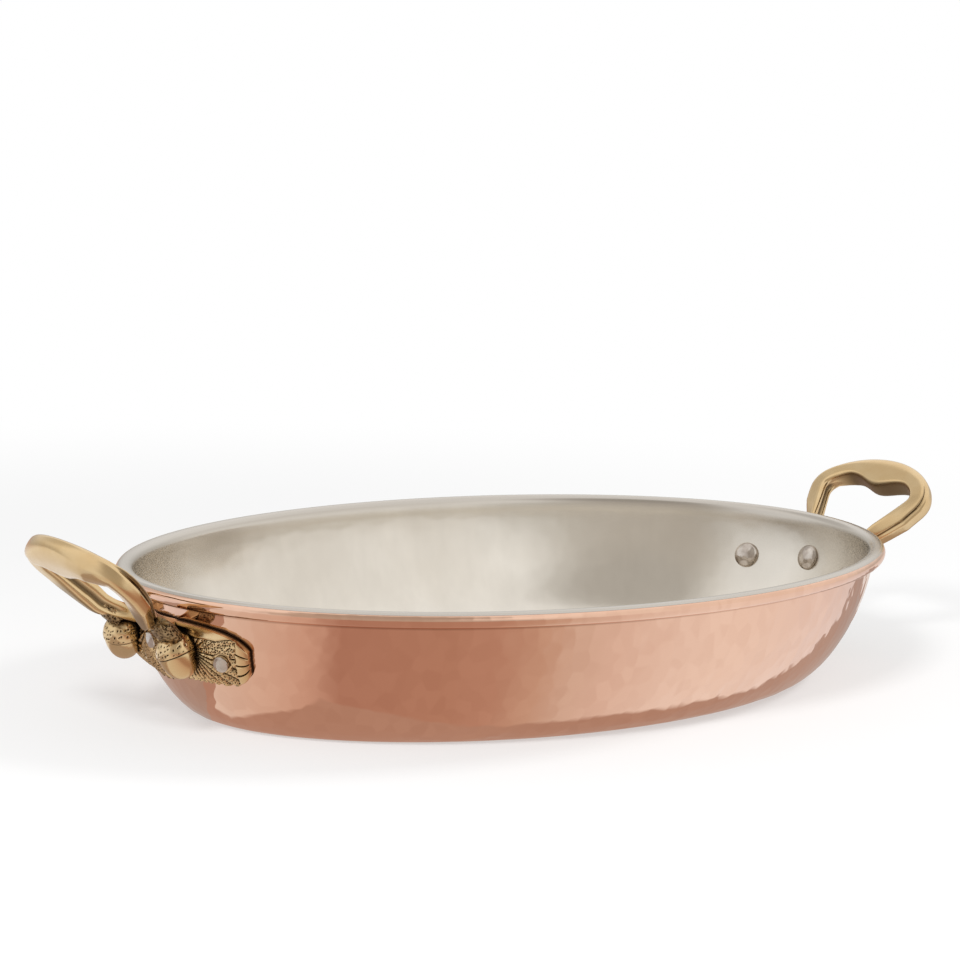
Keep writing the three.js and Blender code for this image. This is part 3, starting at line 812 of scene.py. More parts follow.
def nut_mesh(side):
    """A nut in its pitted cap, lying on the flange with its point out and down."""
    body = NUT_LENGTH - CAP_LENGTH
    rounds = np.linspace(0, math.pi / 2, 30)
    profile = [
        (CAP_DIAMETER / 2 * math.sin(a) ** NUT_ROUNDNESS, -CAP_LENGTH * math.cos(a)) for a in rounds
    ]
    profile += [(CAP_DIAMETER / 2 - CAP_LIP[0], CAP_LIP[1]), (NUT_DIAMETER / 2 - NUT_STEP, NUT_SEAT)]
    profile += [
        (NUT_DIAMETER / 2 * math.cos(a) ** NUT_ROUNDNESS, NUT_SEAT + (body - NUT_SEAT) * math.sin(a))
        for a in rounds[1:]
    ]
    bm = spun(profile, NUT_STEPS)
    values = {}

    def pitted(co):
        angle = np.arctan2(co[:, 1], co[:, 0])
        radius = np.hypot(co[:, 0], co[:, 1])
        around = angle * CAP_DIAMETER / 2
        depth = pits(around, co[:, 2], CAP_PIT_PITCH, CAP_PIT_SIZE, CAP_PIT_SEED)
        depth = depth * smooth(co[:, 2], 0, -0.8)
        # Painted shade on the top of the cap
        values["painted_shade"] = CAP_TOP_SHADE * smooth(co[:, 2], -4.4, -7.2)
        shrink = 1 - CAP_PIT_DEPTH * depth / np.maximum(radius, 2)
        return np.column_stack([co[:, :2] * shrink[:, None], co[:, 2]])

    mesh = mesh_of(bm, "nut", pitted)
    point = Vector((side * math.cos(NUT_SLOPE), 0, math.sin(NUT_SLOPE)))
    turn = Vector((0, 0, 1)).rotation_difference(point).to_matrix().to_4x4()
    lift = Matrix.Translation((0, NUT_STANDOFF, 0))
    mesh.transform(wall_frame(side * NUT_SPREAD, RIM_HEIGHT - NUT_DROP) @ lift @ turn)
    return valued(mesh, values)


def bezier(points, count):
    """Points along a curve of any number of control points."""
    share = np.linspace(0, 1, count)[:, None]
    level = [np.array(point, float)[None, :] * np.ones_like(share) for point in points]
    while len(level) > 1:
        level = [a + (b - a) * share for a, b in zip(level, level[1:])]
    return level[0]


def loop_path():
    """The outer edge of half the loop, from a foot to the middle of the grip, and the way in."""
    leg = bezier((LEG_END, LEG_BOW, SHOULDER), 400)
    grip = bezier((SHOULDER, SHOULDER_BOW, (GRIP_BOW, GRIP_TOP), (0, GRIP_TOP)), 400)
    points = np.vstack([leg[:-1], grip])
    run = np.concatenate([[0], np.cumsum(np.linalg.norm(np.diff(points, axis=0), axis=1))])
    even = np.linspace(0, run[-1], LOOP_STATIONS + 1)
    edge = np.column_stack([np.interp(even, run, points[:, k]) for k in (0, 1)])
    tangent = np.gradient(edge, axis=0)
    tangent[-1] = (-1, 0)
    tangent /= np.linalg.norm(tangent, axis=1, keepdims=True)
    return edge, np.column_stack([-tangent[:, 1], tangent[:, 0]])


def along_leg(slope, places):
    """A size that changes up the slope of the loop, given at a few places."""
    return float(np.interp(slope, [place for place, _ in places], [size for _, size in places]))


def loop_section(slope, width, grip):
    """One section of the loop: how far in from its outer edge, how far above its plane, and how
    much painted shade it carries.
    A leg is a squared bar with a flute on each side; the grip is flat on top, with a crease
    along its inner edge and a full round underneath."""
    angle = np.linspace(0, 2 * math.pi, SECTION_SAMPLES)
    cosine, sine = np.cos(angle), np.sin(angle)
    above = np.where(cosine >= 0, *GRIP_TOP_SQUARENESS)
    below = np.where(cosine >= 0, *GRIP_UNDER_SQUARENESS)
    square = LEG_SQUARENESS + (np.where(sine >= 0, above, below) - LEG_SQUARENESS) * grip
    across = np.sign(cosine) * np.abs(cosine) ** (2 / square)
    upright = np.sign(sine) * np.abs(sine) ** (2 / square)
    outside = along_leg(slope, LEG_OUTER_SIDE)
    inner_share = (across + 1) / 2
    underside = [along_leg(slope, places) for places in (LEG_UNDER_OUTSIDE, LEG_UNDER_INSIDE)]
    topside = [along_leg(slope, places) for places in (LEG_TOP_OUTSIDE, LEG_TOP_INSIDE)]
    bottom = underside[0] + (underside[1] - underside[0]) * inner_share
    top = topside[0] + (topside[1] - topside[0]) * inner_share
    inwards = outside + (width - outside) * inner_share
    middle = [(low + high) / 2 for low, high in zip(underside, topside)]
    if slope > LOOP_CREST[0][0]:
        middle[0] = along_leg(slope, LOOP_CREST)
    crest = middle[0] + (middle[1] - middle[0]) * inner_share
    lift = crest + np.where(upright > 0, top - crest, crest - bottom) * upright
    side = smooth(np.abs(across), 0.5, 0.9)
    corner = smooth(across, 0.75, 0.35) * smooth(upright, 0.5, 0.85)
    # Painted shade on the inside of the grip, the upper faces of the legs, the undersides of the feet
    # and along the flutes
    dark = LOOP_INSIDE_SHADE * grip * smooth(across, 0.6, 0.95) + LOOP_CORNER_SHADE * (1 - grip) * corner
    dark = np.maximum(dark, LOOP_FOOT_SHADE * smooth(-upright, 0.75, 0.95) * smooth(slope, 32, 16))
    for face, flute, level, wide, shade, upwards in (
        (1, INNER_FLUTE, middle[1] - INNER_FLUTE_DROP, INNER_FLUTE_WIDTH, LOOP_INSIDE_SHADE, 0),
        (-1, OUTER_FLUTE, middle[0] + OUTER_FLUTE_RISE, OUTER_FLUTE_WIDTH, LOOP_FLUTE_SHADE, 0.9),
    ):
        here = side * (across * face > 0)
        groove = np.exp(-(((lift - level) / (wide / 2)) ** 2)) * here
        flute_shade = np.exp(-(((lift - level - upwards) / (0.65 * wide)) ** 2)) * here
        cut = along_leg(slope, flute)
        inwards = inwards - face * cut * groove
        dark = np.maximum(dark, shade * min(1, cut) * flute_shade)
    run = np.concatenate([[0], np.cumsum(np.hypot(np.diff(inwards), np.diff(lift)))])
    even = np.linspace(0, run[-1], SECTION_POINTS + 1)[:-1]
    return [np.interp(even, run, values) for values in (inwards, lift, dark)]


def loop_place(across, slope, lift):
    """Points of the loop's own plane, with lift above it, at the right-hand end of the pan.
    The feet leave the plane and bend in towards the wall."""
    bend = np.maximum(FOOT_BEND_START - slope, 0) / (FOOT_BEND_START - LEG_END[1])
    lift = lift + FOOT_BEND_RISE * bend**FOOT_BEND_CURVE
    x = HALF_LENGTH + LOOP_STANDOFF + slope * math.cos(LOOP_TILT) - lift * math.sin(LOOP_TILT)
    z = RIM_HEIGHT - LOOP_DROP + slope * math.sin(LOOP_TILT) + lift * math.cos(LOOP_TILT)
    return np.column_stack([x, across, z])


def outwards(mesh):
    """The mesh with its faces turned outwards."""
    bm = bmesh.new()
    bm.from_mesh(mesh)
    bmesh.ops.recalc_face_normals(bm, faces=bm.faces)
    bm.to_mesh(mesh)
    bm.free()
    return mesh


def loop_mesh():
    """A bar spun through half a turn, then set on the loop's own path and sections."""
    edge, inwards = loop_path()
    sections = []
    for across, slope in edge:
        on_grip = slope > SHOULDER[1]
        belly = 0.5 + 0.5 * math.cos(math.pi * min(1, across / BELLY_SPREAD)) if on_grip else 0
        width = LEG_WIDTH + (GRIP_WIDTH - LEG_WIDTH) * belly
        sections.append(loop_section(slope, width, along_leg(slope, GRIP_SHARE)))
    inset, lift, dark = np.array(sections).transpose(1, 0, 2)

    # The sections crowd together in the inner corners, so their outline is eased there
    outline = edge[:, None, :] + inwards[:, None, :] * inset[:, :, None]
    eased = smooth(edge[:, 1], *EASED_CORNER) * smooth(edge[:, 0], BELLY_SPREAD - 6, BELLY_SPREAD + 2)
    eased = eased[:, None, None] * smooth(inset, 0.4 * LEG_WIDTH, 0.8 * LEG_WIDTH)[:, :, None]
    for _ in range(CORNER_EASING):
        outline[1:-1] += eased[1:-1] * (outline[2:] + outline[:-2] - 2 * outline[1:-1]) / 4

    values = {}
    spread = 10
    bm = bmesh.new()
    ring = bmesh.ops.create_circle(bm, segments=SECTION_POINTS, radius=1)["verts"]
    bmesh.ops.rotate(bm, verts=ring, cent=(0, 0, 0), matrix=Matrix.Rotation(math.pi / 2, 3, "X"))
    bmesh.ops.translate(bm, verts=ring, vec=(spread, 0, 0))
    bmesh.ops.spin(
        bm, geom=bm.verts[:] + bm.edges[:], cent=(0, 0, 0), axis=(0, 0, 1), angle=math.pi,
        steps=2 * LOOP_STATIONS
    )
    bmesh.ops.holes_fill(bm, edges=bm.edges, sides=0)
    bmesh.ops.triangulate(bm, faces=[face for face in bm.faces if len(face.verts) > 4])

    def along_loop(co):
        turn = np.abs(np.arctan2(co[:, 1], co[:, 0]))
        station = np.rint(turn / math.pi * 2 * LOOP_STATIONS).astype(int)
        round_ = np.arctan2(co[:, 2], np.hypot(co[:, 0], co[:, 1]) - spread) % (2 * math.pi)
        point = np.rint(round_ / (2 * math.pi) * SECTION_POINTS).astype(int) % SECTION_POINTS
        half = np.minimum(station, 2 * LOOP_STATIONS - station)
        place = outline[half, point]
        across = place[:, 0] * np.where(station > LOOP_STATIONS, -1, 1)
        # Painted shade along the loop, from its sections
        values["painted_shade"] = dark[half, point]
        return loop_place(across, place[:, 1], lift[half, point])

    return valued(outwards(mesh_of(bm, "loop", along_loop)), values)


def wall_block():
    """The room that the wall takes up behind the flange, to keep the loop's feet out of it."""
    bm = slab(30, 12)

    def draped(co):
        middle = RIM_HEIGHT - (FLANGE_TOP_DROP + FLANGE_BOTTOM_DROP) / 2
        height = middle + WALL_BLOCK_HALF * co[:, 1]
        standoff = np.where(co[:, 2] > 0.5, FIT_GAP + WALL_BLOCK_FRONT, -WALL_BLOCK_DEPTH)
        return on_wall(co[:, 0] * FLANGE_REACH, height, standoff)

    return valued(outwards(mesh_of(bm, "wall_block", draped)), {})


def foot_cutter(side, low):
    """A block that takes away the outer part of a leg below its cut, or the lower part."""
    bm = bmesh.new()
    bmesh.ops.create_cube(bm, size=1)
    bmesh.ops.subdivide_edges(bm, edges=bm.edges, cuts=20, use_grid_fill=True)
    along = np.subtract(SHOULDER, LEG_END) / np.linalg.norm(np.subtract(SHOULDER, LEG_END))
    inwards = np.array([-along[1], along[0]])

    def placed(co):
        if low:
            lift = CUTTER_SIZE * (co[:, 2] - 0.5) - FOOT_FIN_DROP
            into = CUTTER_SIZE * co[:, 0] + LEG_WIDTH / 2
        else:
            lift = CUTTER_SIZE * co[:, 2]
            into = LEG_WIDTH - FOOT_FIN + FIN_CUTTER_WIDTH * (co[:, 0] - 0.5)
        slant = FOOT_CUT_SLANT * (into - LEG_OUTER_SIDE[0][1]) + FOOT_CUT_LEAN * lift
        down = CUTTER_SIZE * (co[:, 1] - 0.5) - slant
        place = np.array(FOOT_CUT) + down[:, None] * along + into[:, None] * inwards
        return loop_place(side * place[:, 0], place[:, 1], lift)

    mesh = outwards(mesh_of(bm, "foot_cutter", placed))
    # The faces that the cutter leaves on a foot carry painted shade
    return valued(mesh, {"painted_shade": np.full(len(mesh.vertices), LOOP_FOOT_SHADE)})


def neck_mesh(side):
    """The neck that joins a nut's cap to the foot of the loop."""
    across, slope, lift = NECK_START
    start = Vector(loop_place(side * across, np.array([slope]), np.array([lift]))[0])
    nut_place = wall_frame(side * NUT_SPREAD, RIM_HEIGHT - NUT_DROP)
    inwards, out, up = NECK_END
    end = nut_place @ Vector((-side * inwards, NUT_STANDOFF + out, -up * CAP_LENGTH))
    length = (end - start).length + 1
    profile = [(0, -length / 2)]
    for share in np.linspace(0, 1, NECK_RINGS):
        bulge = NECK_BULGE * math.sin(math.pi * share)
        width = NECK_WIDE + (NECK_NARROW - NECK_WIDE) * share
        profile.append((width / 2 + bulge, length * (share - 0.5)))
    profile.append((0, length / 2))
    bm = spun(profile, NECK_STEPS)
    along = (end - start).normalized()
    sideways = nut_place.to_3x3() @ Vector((1, 0, 0))
    sideways = (sideways - along * along.dot(sideways)).normalized()
    turn = Matrix((sideways, along.cross(sideways), along)).transposed().to_4x4()
    flat = Matrix.Diagonal((NECK_SPREAD, 1, 1, 1))
    values = {}

    def pitted(co):
        around = np.arctan2(co[:, 1], co[:, 0]) * NECK_SPREAD * NECK_NARROW / 2
        depth = pits(around, co[:, 2], NECK_PIT_PITCH, NECK_PIT_SIZE, NECK_PIT_SEED)
        # Painted shade on the neck, less of it away from its pits
        values["painted_shade"] = NECK_SHADE - NECK_WORN * (1 - depth)
        values["stipple"] = np.ones(len(co))
        return co * (1 - NECK_PIT_DEPTH * depth)[:, None]

    mesh = mesh_of(bm, "neck", pitted)
    mesh.transform(Matrix.Translation((start + end) / 2) @ turn @ flat)
    return valued(outwards(mesh), values)


def combined(first, others, operation):
    """One closed mesh from several, joined to the first or cut from it."""
    parts = []
    for mesh in [first, *others]:
        part = bpy.data.objects.new(mesh.name, mesh)
        bpy.context.scene.collection.objects.link(part)
        parts.append(part)
    for part in parts[1:]:
        step = parts[0].modifiers.new(part.name, "BOOLEAN")
        step.operation = operation
        step.solver = "MANIFOLD"
        step.object = part
    view = bpy.context.evaluated_depsgraph_get()
    whole = bpy.data.meshes.new_from_object(parts[0].evaluated_get(view))
    for part in parts:
        bpy.data.objects.remove(part)
    return whole


def hollowness(mesh):
    """How far each point of a mesh lies in a pit, and how far in a wider hollow, from 0 to 1."""
    co = coordinates(mesh)
    normal = np.empty(len(co) * 3)
    mesh.vertices.foreach_get("normal", normal)
    normal = normal.reshape(-1, 3)
    edges = np.empty(len(mesh.edges) * 2, int)
    mesh.edges.foreach_get("vertices", edges)
    a, b = edges.reshape(-1, 2).T
    rise = np.zeros(len(co))
    count = np.zeros(len(co))
    for here, there in ((a, b), (b, a)):
        step = co[there] - co[here]
        length = np.maximum(np.linalg.norm(step, axis=1), 1e-4)
        np.add.at(rise, here, (step * normal[here]).sum(1) / length)
        np.add.at(count, here, 1)
    pit = np.clip(rise / np.maximum(count, 1) * PIT_GAIN, 0, 1)
    shade = np.zeros(len(co))
    tree = BVHTree.FromPolygons(
        [Vector(point) for point in co], [tuple(face.vertices) for face in mesh.polygons]
    )
    rays = hemisphere(HOLLOW_RAYS)
    for k, (point, up) in enumerate(zip(co, normal)):
        up = Vector(up)
        turn = Vector((0, 0, 1)).rotation_difference(up)
        start = Vector(point) + up * HOLLOW_START
        for ray in rays:
            hit = tree.ray_cast(start, turn @ ray, HOLLOW_REACH)[3]
            if hit is not None:
                shade[k] += 1 - hit / HOLLOW_REACH
    shade /= len(rays)
    return pit, shade


def hemisphere(count):
    """Directions spread evenly over the half space above Z."""
    rays = []
    for k in range(count):
        rise = (k + 0.5) / count
        turn = k * math.pi * (3 - math.sqrt(5))
        flat = math.sqrt(1 - rise * rise)
        rays.append(Vector((flat * math.cos(turn), flat * math.sin(turn), rise)))
    return rays


def brass_handle(material):
    cutters = [foot_cutter(side, low) for side in (-1, 1) for low in (False, True)]
    loop = combined(loop_mesh(), [*cutters, wall_block()], "DIFFERENCE")
    ornament = [made(side) for made in (nut_mesh, neck_mesh) for side in (-1, 1)]
    whole = combined(loop, [flange_mesh(), *ornament], "UNION")
    pit, shade = hollowness(whole)
    for name, values in (("pit", pit), ("shade", shade)):
        layer = whole.attributes.new(name, "FLOAT", "POINT")
        layer.data.foreach_set("value", values.astype(np.float32))
    other = whole.copy()
    other.transform(Matrix.Rotation(math.pi, 4, "Z"))
    finished("brass_handle_right", whole, material, "handle_right")
    finished("brass_handle_left", other, material, "handle_left")


# Finishes


def node(tree, kind, values=None, **settings):
    made = tree.nodes.new("ShaderNode" + kind)
    for key, value in settings.items():
        setattr(made, key, value)
    for key, value in (values or {}).items():
        made.inputs[key].default_value = value
    return made


def fed(tree, made, *values):
    """A node with its first inputs linked to sockets, or set to plain values."""
    for spot, value in zip(made.inputs, values):
        if isinstance(value, bpy.types.NodeSocket):
            tree.links.new(value, spot)
        else:
            spot.default_value = value
    return made


def maths(tree, operation, *values):
    return fed(tree, node(tree, "Math", operation=operation), *values).outputs[0]


def vectors(tree, operation, *values):
    made = fed(tree, node(tree, "VectorMath", operation=operation), *values)
    return made.outputs["Value" if operation in ("LENGTH", "DOT_PRODUCT") else "Vector"]


def object_place(tree):
    return node(tree, "TexCoord").outputs["Object"]


def split(tree, vector):
    """The X, Y and Z of a vector."""
    return fed(tree, node(tree, "SeparateXYZ"), vector).outputs


def ranged(tree, value, low, high, first, last):
    """A value mapped from one range to another, held at its ends."""
    values = {"From Min": low, "From Max": high, "To Min": first, "To Max": last}
    return fed(tree, node(tree, "MapRange", values, clamp=True), value).outputs["Result"]


def eased_range(tree, value, low, high):
    """0 below one value and 1 above another, with a soft rise between."""
    values = {"From Min": low, "From Max": high}
    made = node(tree, "MapRange", values, interpolation_type="SMOOTHSTEP")
    return fed(tree, made, value).outputs["Result"]


def mixed(tree, factor, first, second):
    """A colour between two others."""
    mix = node(tree, "Mix", data_type="RGBA")
    tree.links.new(factor, mix.inputs["Factor"])
    for socket, colour in (("A", first), ("B", second)):
        spot = next(s for s in mix.inputs if s.name == socket and s.type == "RGBA")
        if isinstance(colour, tuple):
            spot.default_value = (*colour, 1)
        else:
            tree.links.new(colour, spot)
    return next(s for s in mix.outputs if s.type == "RGBA")


def rubbed_group():
    """Fine rubbing marks and cloudy tarnish, for the roughness, colour and bump of a metal."""
    group = bpy.data.node_groups.new("rubbed metal", "ShaderNodeTree")
    face = group.interface
    for name in ("Cloud Scale", "Grain Scale"):
        face.new_socket(name, in_out="INPUT", socket_type="NodeSocketFloat")
    face.new_socket("Stretch", in_out="INPUT", socket_type="NodeSocketVector")
    for name in ("Cloud", "Grain"):
        face.new_socket(name, in_out="OUTPUT", socket_type="NodeSocketFloat")
    link = group.links.new
    given = group.nodes.new("NodeGroupInput")
    out = group.nodes.new("NodeGroupOutput")
    place = object_place(group)
    cloud = node(group, "TexNoise", {"Detail": 3.0, "Roughness": 0.55})
    grain = node(group, "TexNoise", {"Detail": 4.0, "Roughness": 0.65})
    link(place, cloud.inputs["Vector"])
    link(vectors(group, "MULTIPLY", place, given.outputs["Stretch"]), grain.inputs["Vector"])
    link(given.outputs["Cloud Scale"], cloud.inputs["Scale"])
    link(given.outputs["Grain Scale"], grain.inputs["Scale"])
    link(cloud.outputs["Fac"], out.inputs["Cloud"])
    link(grain.outputs["Fac"], out.inputs["Grain"])
    return group


def metal(name, cloud_scale, grain_scale, stretch):
    """A metal's shader and its rubbing marks, with the links left to the finish."""
    material = bpy.data.materials.new(name)
    material.use_nodes = True
    tree = material.node_tree
    shader = tree.nodes["Principled BSDF"]
    shader.inputs["Metallic"].default_value = 1
    marks = node(tree, "Group")
    marks.node_tree = RUBBED
    marks.inputs["Cloud Scale"].default_value = cloud_scale
    marks.inputs["Grain Scale"].default_value = grain_scale
    marks.inputs["Stretch"].default_value = stretch
    return material, tree, shader, marks.outputs["Cloud"], marks.outputs["Grain"]


def coloured(tree, shader, colour, roughness):
    tree.links.new(colour, shader.inputs["Base Color"])
    tree.links.new(roughness, shader.inputs["Roughness"])


def bumped(tree, shader, height, strength, distance):
    bump = node(tree, "Bump", {"Strength": strength, "Distance": distance})
    tree.links.new(height, bump.inputs["Height"])
    tree.links.new(bump.outputs["Normal"], shader.inputs["Normal"])


def dimples(tree):
    """Small round hollows side by side, as a planishing hammer leaves them: their depth, and a
    value of its own for each."""
    values = {"Scale": DIMPLES, "Randomness": 0.9, "Smoothness": 0.35}
    cells = node(tree, "TexVoronoi", values, feature="SMOOTH_F1")
    tall = vectors(tree, "MULTIPLY", object_place(tree), DIMPLE_STRETCH)
    tree.links.new(tall, cells.inputs["Vector"])
    distance = cells.outputs["Distance"]
    return maths(tree, "MULTIPLY", distance, distance), cells.outputs["Color"]


def polished_copper():
    material, tree, shader, cloud, _ = metal(
        "polished copper", cloud_scale=34, grain_scale=700, stretch=(1, 1, 2.5)
    )
    depth, own = dimples(tree)
    clean = mixed(tree, ranged(tree, own, 0, 1, 0, 1), COPPER, COPPER_DULLER)
    # A band of painted shade along the crease under the roll
    height = split(tree, object_place(tree))["Z"]
    below = ranged(tree, height, (ROLL_FOOT - 1.3) * MM, (ROLL_FOOT - 0.3) * MM, 0, 0.8)
    above = ranged(tree, height, (ROLL_FOOT + 0.1) * MM, (ROLL_FOOT + 0.6) * MM, 0.8, 0)
    colour = mixed(tree, maths(tree, "MINIMUM", below, above), clean, COPPER_CREASE_SHADE)
    coloured(tree, shader, colour, ranged(tree, cloud, 0.3, 0.7, 0.04, 0.075))
    bumped(tree, shader, depth, strength=1.0, distance=DIMPLE_DEPTH)
    return material


def wiped_tin():
    material, tree, shader, cloud, grain = metal(
        "wiped tin", cloud_scale=22, grain_scale=60, stretch=(1, 1, 0.2)
    )
    colour = mixed(tree, ranged(tree, cloud, 0.3, 0.7, 0, 1), TIN, TIN_DULLER)
    x, _, z = split(tree, object_place(tree))
    # Painted shade on the lining near the rim at each end of the pan
    near_rim = ranged(tree, z, (RIM_HEIGHT - 20) * MM, (RIM_HEIGHT - 8) * MM, 0, 0.7)
    endwards = ranged(tree, maths(tree, "ABSOLUTE", x), 0.138, 0.162, 0, 1)
    colour = mixed(tree, maths(tree, "MULTIPLY", near_rim, endwards), colour, TIN_SHADE_AT_ENDS)
    colour = mixed(tree, ranged(tree, grain, 0.35, 0.65, 0, 0.24), colour, TIN_STROKES)
    on_roll = ranged(tree, z, (RIM_HEIGHT - 4) * MM, (RIM_HEIGHT - 1.5) * MM, 0, 1)
    colour = mixed(tree, on_roll, colour, TIN_ON_ROLL)
    coloured(tree, shader, colour, ranged(tree, cloud, 0.3, 0.7, 0.2, 0.27))
    return material


def cast_brass():
    material, tree, shader, cloud, grain = metal(
        "cast brass", cloud_scale=90, grain_scale=1400, stretch=(1, 1, 1)
    )
    given = {
        name: node(tree, "Attribute", attribute_name=name).outputs["Fac"]
        for name in ("pit", "shade", *HANDLE_VALUES)
    }
    place = object_place(tree)
    cells = node(tree, "TexVoronoi", {"Scale": 1050.0, "Randomness": 0.85})
    speckle = node(tree, "TexNoise", {"Scale": 420.0, "Detail": 2.0})
    for texture in (cells, speckle):
        tree.links.new(place, texture.inputs["Vector"])
    dots = ranged(tree, cells.outputs["Distance"], 0.3, 0.46, 1, 0)
    kept = ranged(tree, speckle.outputs["Fac"], 0.38, 0.6, 0.15, 1)
    dark = maths(tree, "MULTIPLY", dots, maths(tree, "MULTIPLY", given["stipple"], kept))
    # The brass darkens with specks in its stippling and patina in its pits, and with painted shade in
    # its hollows, creases, flutes and undersides
    for name, low, high in (("pit", 0.11, 0.42), ("shade", 0.3, 0.56), ("painted_shade", 0.25, 0.7)):
        dark = maths(tree, "MAXIMUM", dark, ranged(tree, given[name], low, high, 0, 1))
    clean = mixed(tree, ranged(tree, cloud, 0.35, 0.65, 0, 1), BRASS, BRASS_DULLER)
    colour = mixed(tree, dark, clean, BRASS_PATINA_AND_SHADE)
    coloured(tree, shader, colour, ranged(tree, dark, 0, 1, 0.2, 0.6))
    bumped(tree, shader, grain, strength=0.05, distance=0.0002)
    return material


def tinned_rivet():
    material, tree, shader, cloud, grain = metal(
        "tinned rivet", cloud_scale=260, grain_scale=1500, stretch=(1, 1, 1)
    )
    colour = mixed(tree, ranged(tree, cloud, 0.35, 0.65, 0, 1), RIVET_TIN, RIVET_DULLER)
    coloured(tree, shader, colour, ranged(tree, grain, 0.3, 0.7, 0.1, 0.2))
    bumped(tree, shader, cloud, strength=0.35, distance=0.0005)
    return material


# Studio


def camera():
    """The photograph's own view: where it stands, its roll, and where the origin shows."""
    azimuth, elevation, roll = (math.radians(a) for a in (-38.9, 12.93, 2.18))
    distance, focal, picture = 1237.63, 3020.23, 960
    origin_at = (519.19, 679.22)
    flat = math.cos(elevation)
    back = Vector((math.sin(azimuth) * flat, -math.cos(azimuth) * flat, math.sin(elevation)))
    level = (-back).cross(Vector((0, 0, 1))).normalized()
    upright = level.cross(-back)
    aside = (origin_at[0] - picture / 2) / focal
    below = (origin_at[1] - picture / 2) / focal
    ahead = (-back - aside * level + below * upright).normalized()
    right = ahead.cross(Vector((0, 0, 1))).normalized()
    up = right.cross(ahead)
    right, up = (
        right * math.cos(roll) + up * math.sin(roll),
        up * math.cos(roll) - right * math.sin(roll),
    )
    lens = bpy.data.cameras.new("camera")
    lens.sensor_width = 36
    lens.lens = focal / picture * lens.sensor_width
    lens.clip_start = 0.05
    stand = bpy.data.objects.new("camera", lens)
    turn = Matrix((right, up, -ahead)).transposed().to_4x4()
    stand.matrix_world = Matrix.Translation(back * distance * MM) @ turn
    bpy.context.scene.collection.objects.link(stand)
    bpy.context.scene.camera = stand


def colour_ramp(tree, value, stops):
    """Colours spread along a value, given as places and colours."""
    made = fed(tree, node(tree, "ValToRGB"), value)
    elements = made.color_ramp.elements
    for _ in stops[2:]:
        elements.new(0.5)
    for element, (place, colour) in zip(elements, stops):
        element.position = place
        element.color = (*colour, 1)
    return made.outputs["Color"]


def turn_about_pan(tree):
    """The way round the pan on the floor, from 0 at one end to 1 at the other, on both sides.
    It turns about a point between the middle and an end, as the curve of the wall does."""
    x, y, _ = split(tree, object_place(tree))
    facing = maths(tree, "MULTIPLY", maths(tree, "SIGN", y), -1.0)
    shifted = maths(tree, "ADD", maths(tree, "MULTIPLY", x, facing), FLOOR_TURN_POINT)
    turn = maths(tree, "ARCTAN2", maths(tree, "ABSOLUTE", y), shifted)
    return maths(tree, "MULTIPLY", turn, 1 / math.pi)


def near_base(tree, share):
    """1 on the floor beside the base, where the pan shades it, with a crisp edge that lies
    further out at some places round the pan than at others."""
    place = object_place(tree)
    base = [half * MM - BASE_INSET * MM for half in (HALF_LENGTH, HALF_WIDTH)]
    scaled = vectors(tree, "MULTIPLY", place, (1 / base[0], 1 / base[1], 0))
    reach = vectors(tree, "LENGTH", place)
    inside = maths(tree, "DIVIDE", reach, vectors(tree, "LENGTH", scaled))
    away = maths(tree, "SUBTRACT", reach, inside)
    stops = [(spot, (out / SHADE_REACH * MM,) * 3) for spot, out in FLOOR_SHADE_EDGE]
    edge = maths(tree, "MULTIPLY", colour_ramp(tree, share, stops), SHADE_REACH)
    past = maths(tree, "SUBTRACT", away, edge)
    return ranged(tree, past, -SHADE_SOFTNESS, SHADE_SOFTNESS, 1, 0)


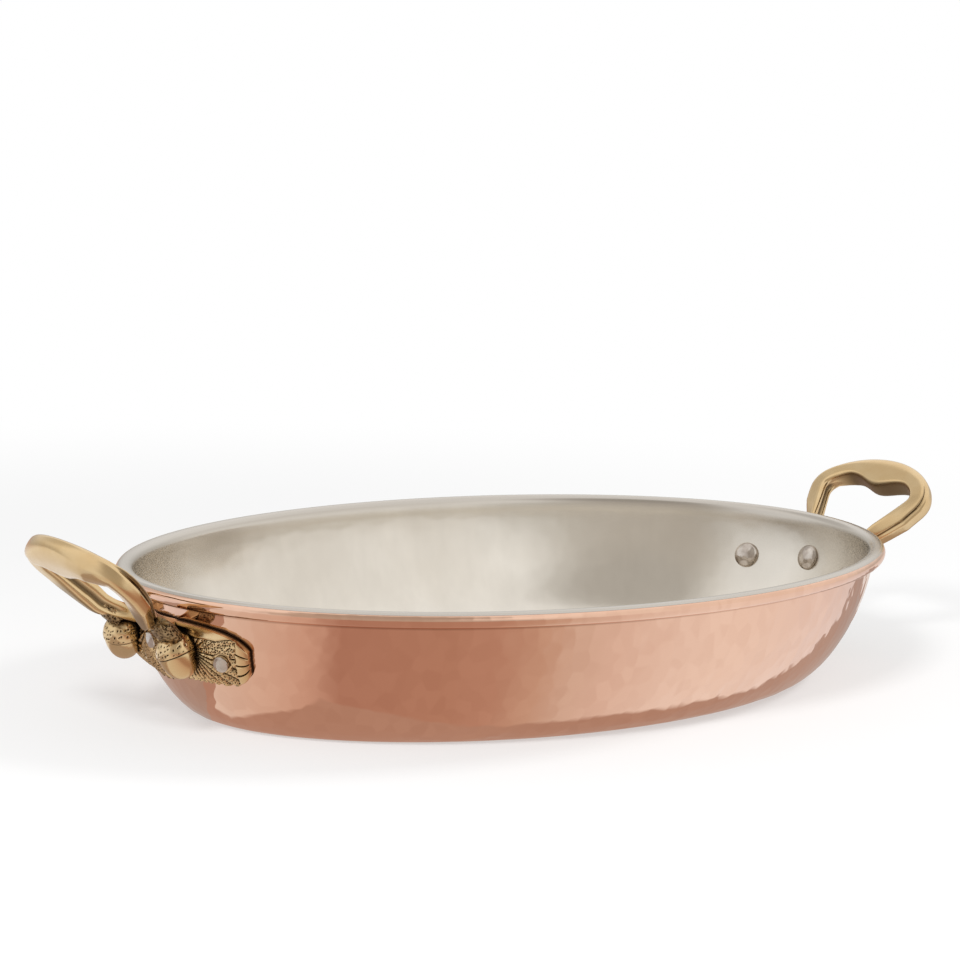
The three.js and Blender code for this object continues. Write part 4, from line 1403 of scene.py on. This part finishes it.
def studio_floor():
    """A white floor. The metal sees it with a warm, dim stretch, and shaded beside the base."""
    bm = bmesh.new()
    bmesh.ops.create_grid(bm, x_segments=1, y_segments=1, size=6)
    mesh = bpy.data.meshes.new("floor")
    bm.to_mesh(mesh)
    bm.free()
    floor = bpy.data.objects.new("floor", mesh)
    bpy.context.scene.collection.objects.link(floor)
    material = bpy.data.materials.new("pale floor")
    material.use_nodes = True
    tree = material.node_tree
    shader = tree.nodes["Principled BSDF"]
    shader.inputs["Roughness"].default_value = 1
    shader.inputs["Specular IOR Level"].default_value = 0
    shader.inputs["Base Color"].default_value = (*FLOOR_COLOUR, 1)
    rays = node(tree, "LightPath").outputs
    share = turn_about_pan(tree)
    mirrored = colour_ramp(tree, share, FLOOR_IN_METAL)
    shade = colour_ramp(tree, share, FLOOR_SHADE)
    mirrored = mixed(tree, near_base(tree, share), mirrored, shade)
    seen = mixed(tree, rays["Is Glossy Ray"], WHITE, mirrored)
    plain = fed(tree, node(tree, "Emission", {"Strength": 1.0}), seen)
    far = eased_range(tree, vectors(tree, "LENGTH", object_place(tree)), *FLOOR_LIFT_REACH)
    lifted = ranged(tree, far, 0, 1, FLOOR_LIFT, 1)
    lifted = maths(tree, "MULTIPLY", rays["Is Camera Ray"], lifted)
    shown = maths(tree, "MAXIMUM", lifted, rays["Is Glossy Ray"])
    both = fed(tree, node(tree, "MixShader"), shown, shader.outputs[0], plain.outputs[0])
    tree.links.new(both.outputs[0], tree.nodes["Material Output"].inputs["Surface"])
    mesh.materials.append(material)


def softbox(name, place, power):
    """A soft lamp that lights the floor; the metal sees the studio round it instead."""
    lamp = bpy.data.lights.new(name, "AREA")
    lamp.shape = "RECTANGLE"
    lamp.size = lamp.size_y = SOFTBOX_SIZE
    lamp.energy = power
    stand = bpy.data.objects.new(name, lamp)
    stand.rotation_euler = (-Vector(place)).to_track_quat("-Z", "Y").to_euler()
    stand.location = place
    stand.visible_glossy = False
    bpy.context.scene.collection.objects.link(stand)


def studio_world():
    """White to the camera, even light for the floor, and a soft room for the metal to mirror."""
    world = bpy.data.worlds.new("studio")
    bpy.context.scene.world = world
    world.use_nodes = True
    tree = world.node_tree
    direction = node(tree, "TexCoord").outputs["Generated"]
    height = split(tree, direction)["Z"]
    room = colour_ramp(tree, ranged(tree, height, -1, 1, 0, 1), ROOM)
    for towards, edge, inner, colour in ROOM_SIDES:
        dot = vectors(tree, "DOT_PRODUCT", direction, Vector(towards).normalized())
        room = mixed(tree, eased_range(tree, dot, edge, inner), room, colour)
    rays = node(tree, "LightPath").outputs
    lit = mixed(tree, rays["Is Glossy Ray"], (WORLD_LEVEL,) * 3, room)
    seen = mixed(tree, rays["Is Camera Ray"], lit, WHITE)
    tree.links.new(seen, tree.nodes["Background"].inputs["Color"])


RUBBED = rubbed_group()
camera()
copper_bowl(polished_copper())
tin_lining(wiped_tin())
brass_handle(cast_brass())
rivet_finish = tinned_rivet()
for number, (place, along, height) in enumerate(RIVETS):
    for side in ("right", "left"):
        name = f"rivet_{side}_{place}_dressed"
        rivet(name, side, along, height, RIVET_SEED + number, rivet_finish)
studio_floor()
studio_world()
for lamp in SOFTBOXES:
    softbox(*lamp)
bpy.context.scene.view_settings.view_transform = "Standard"
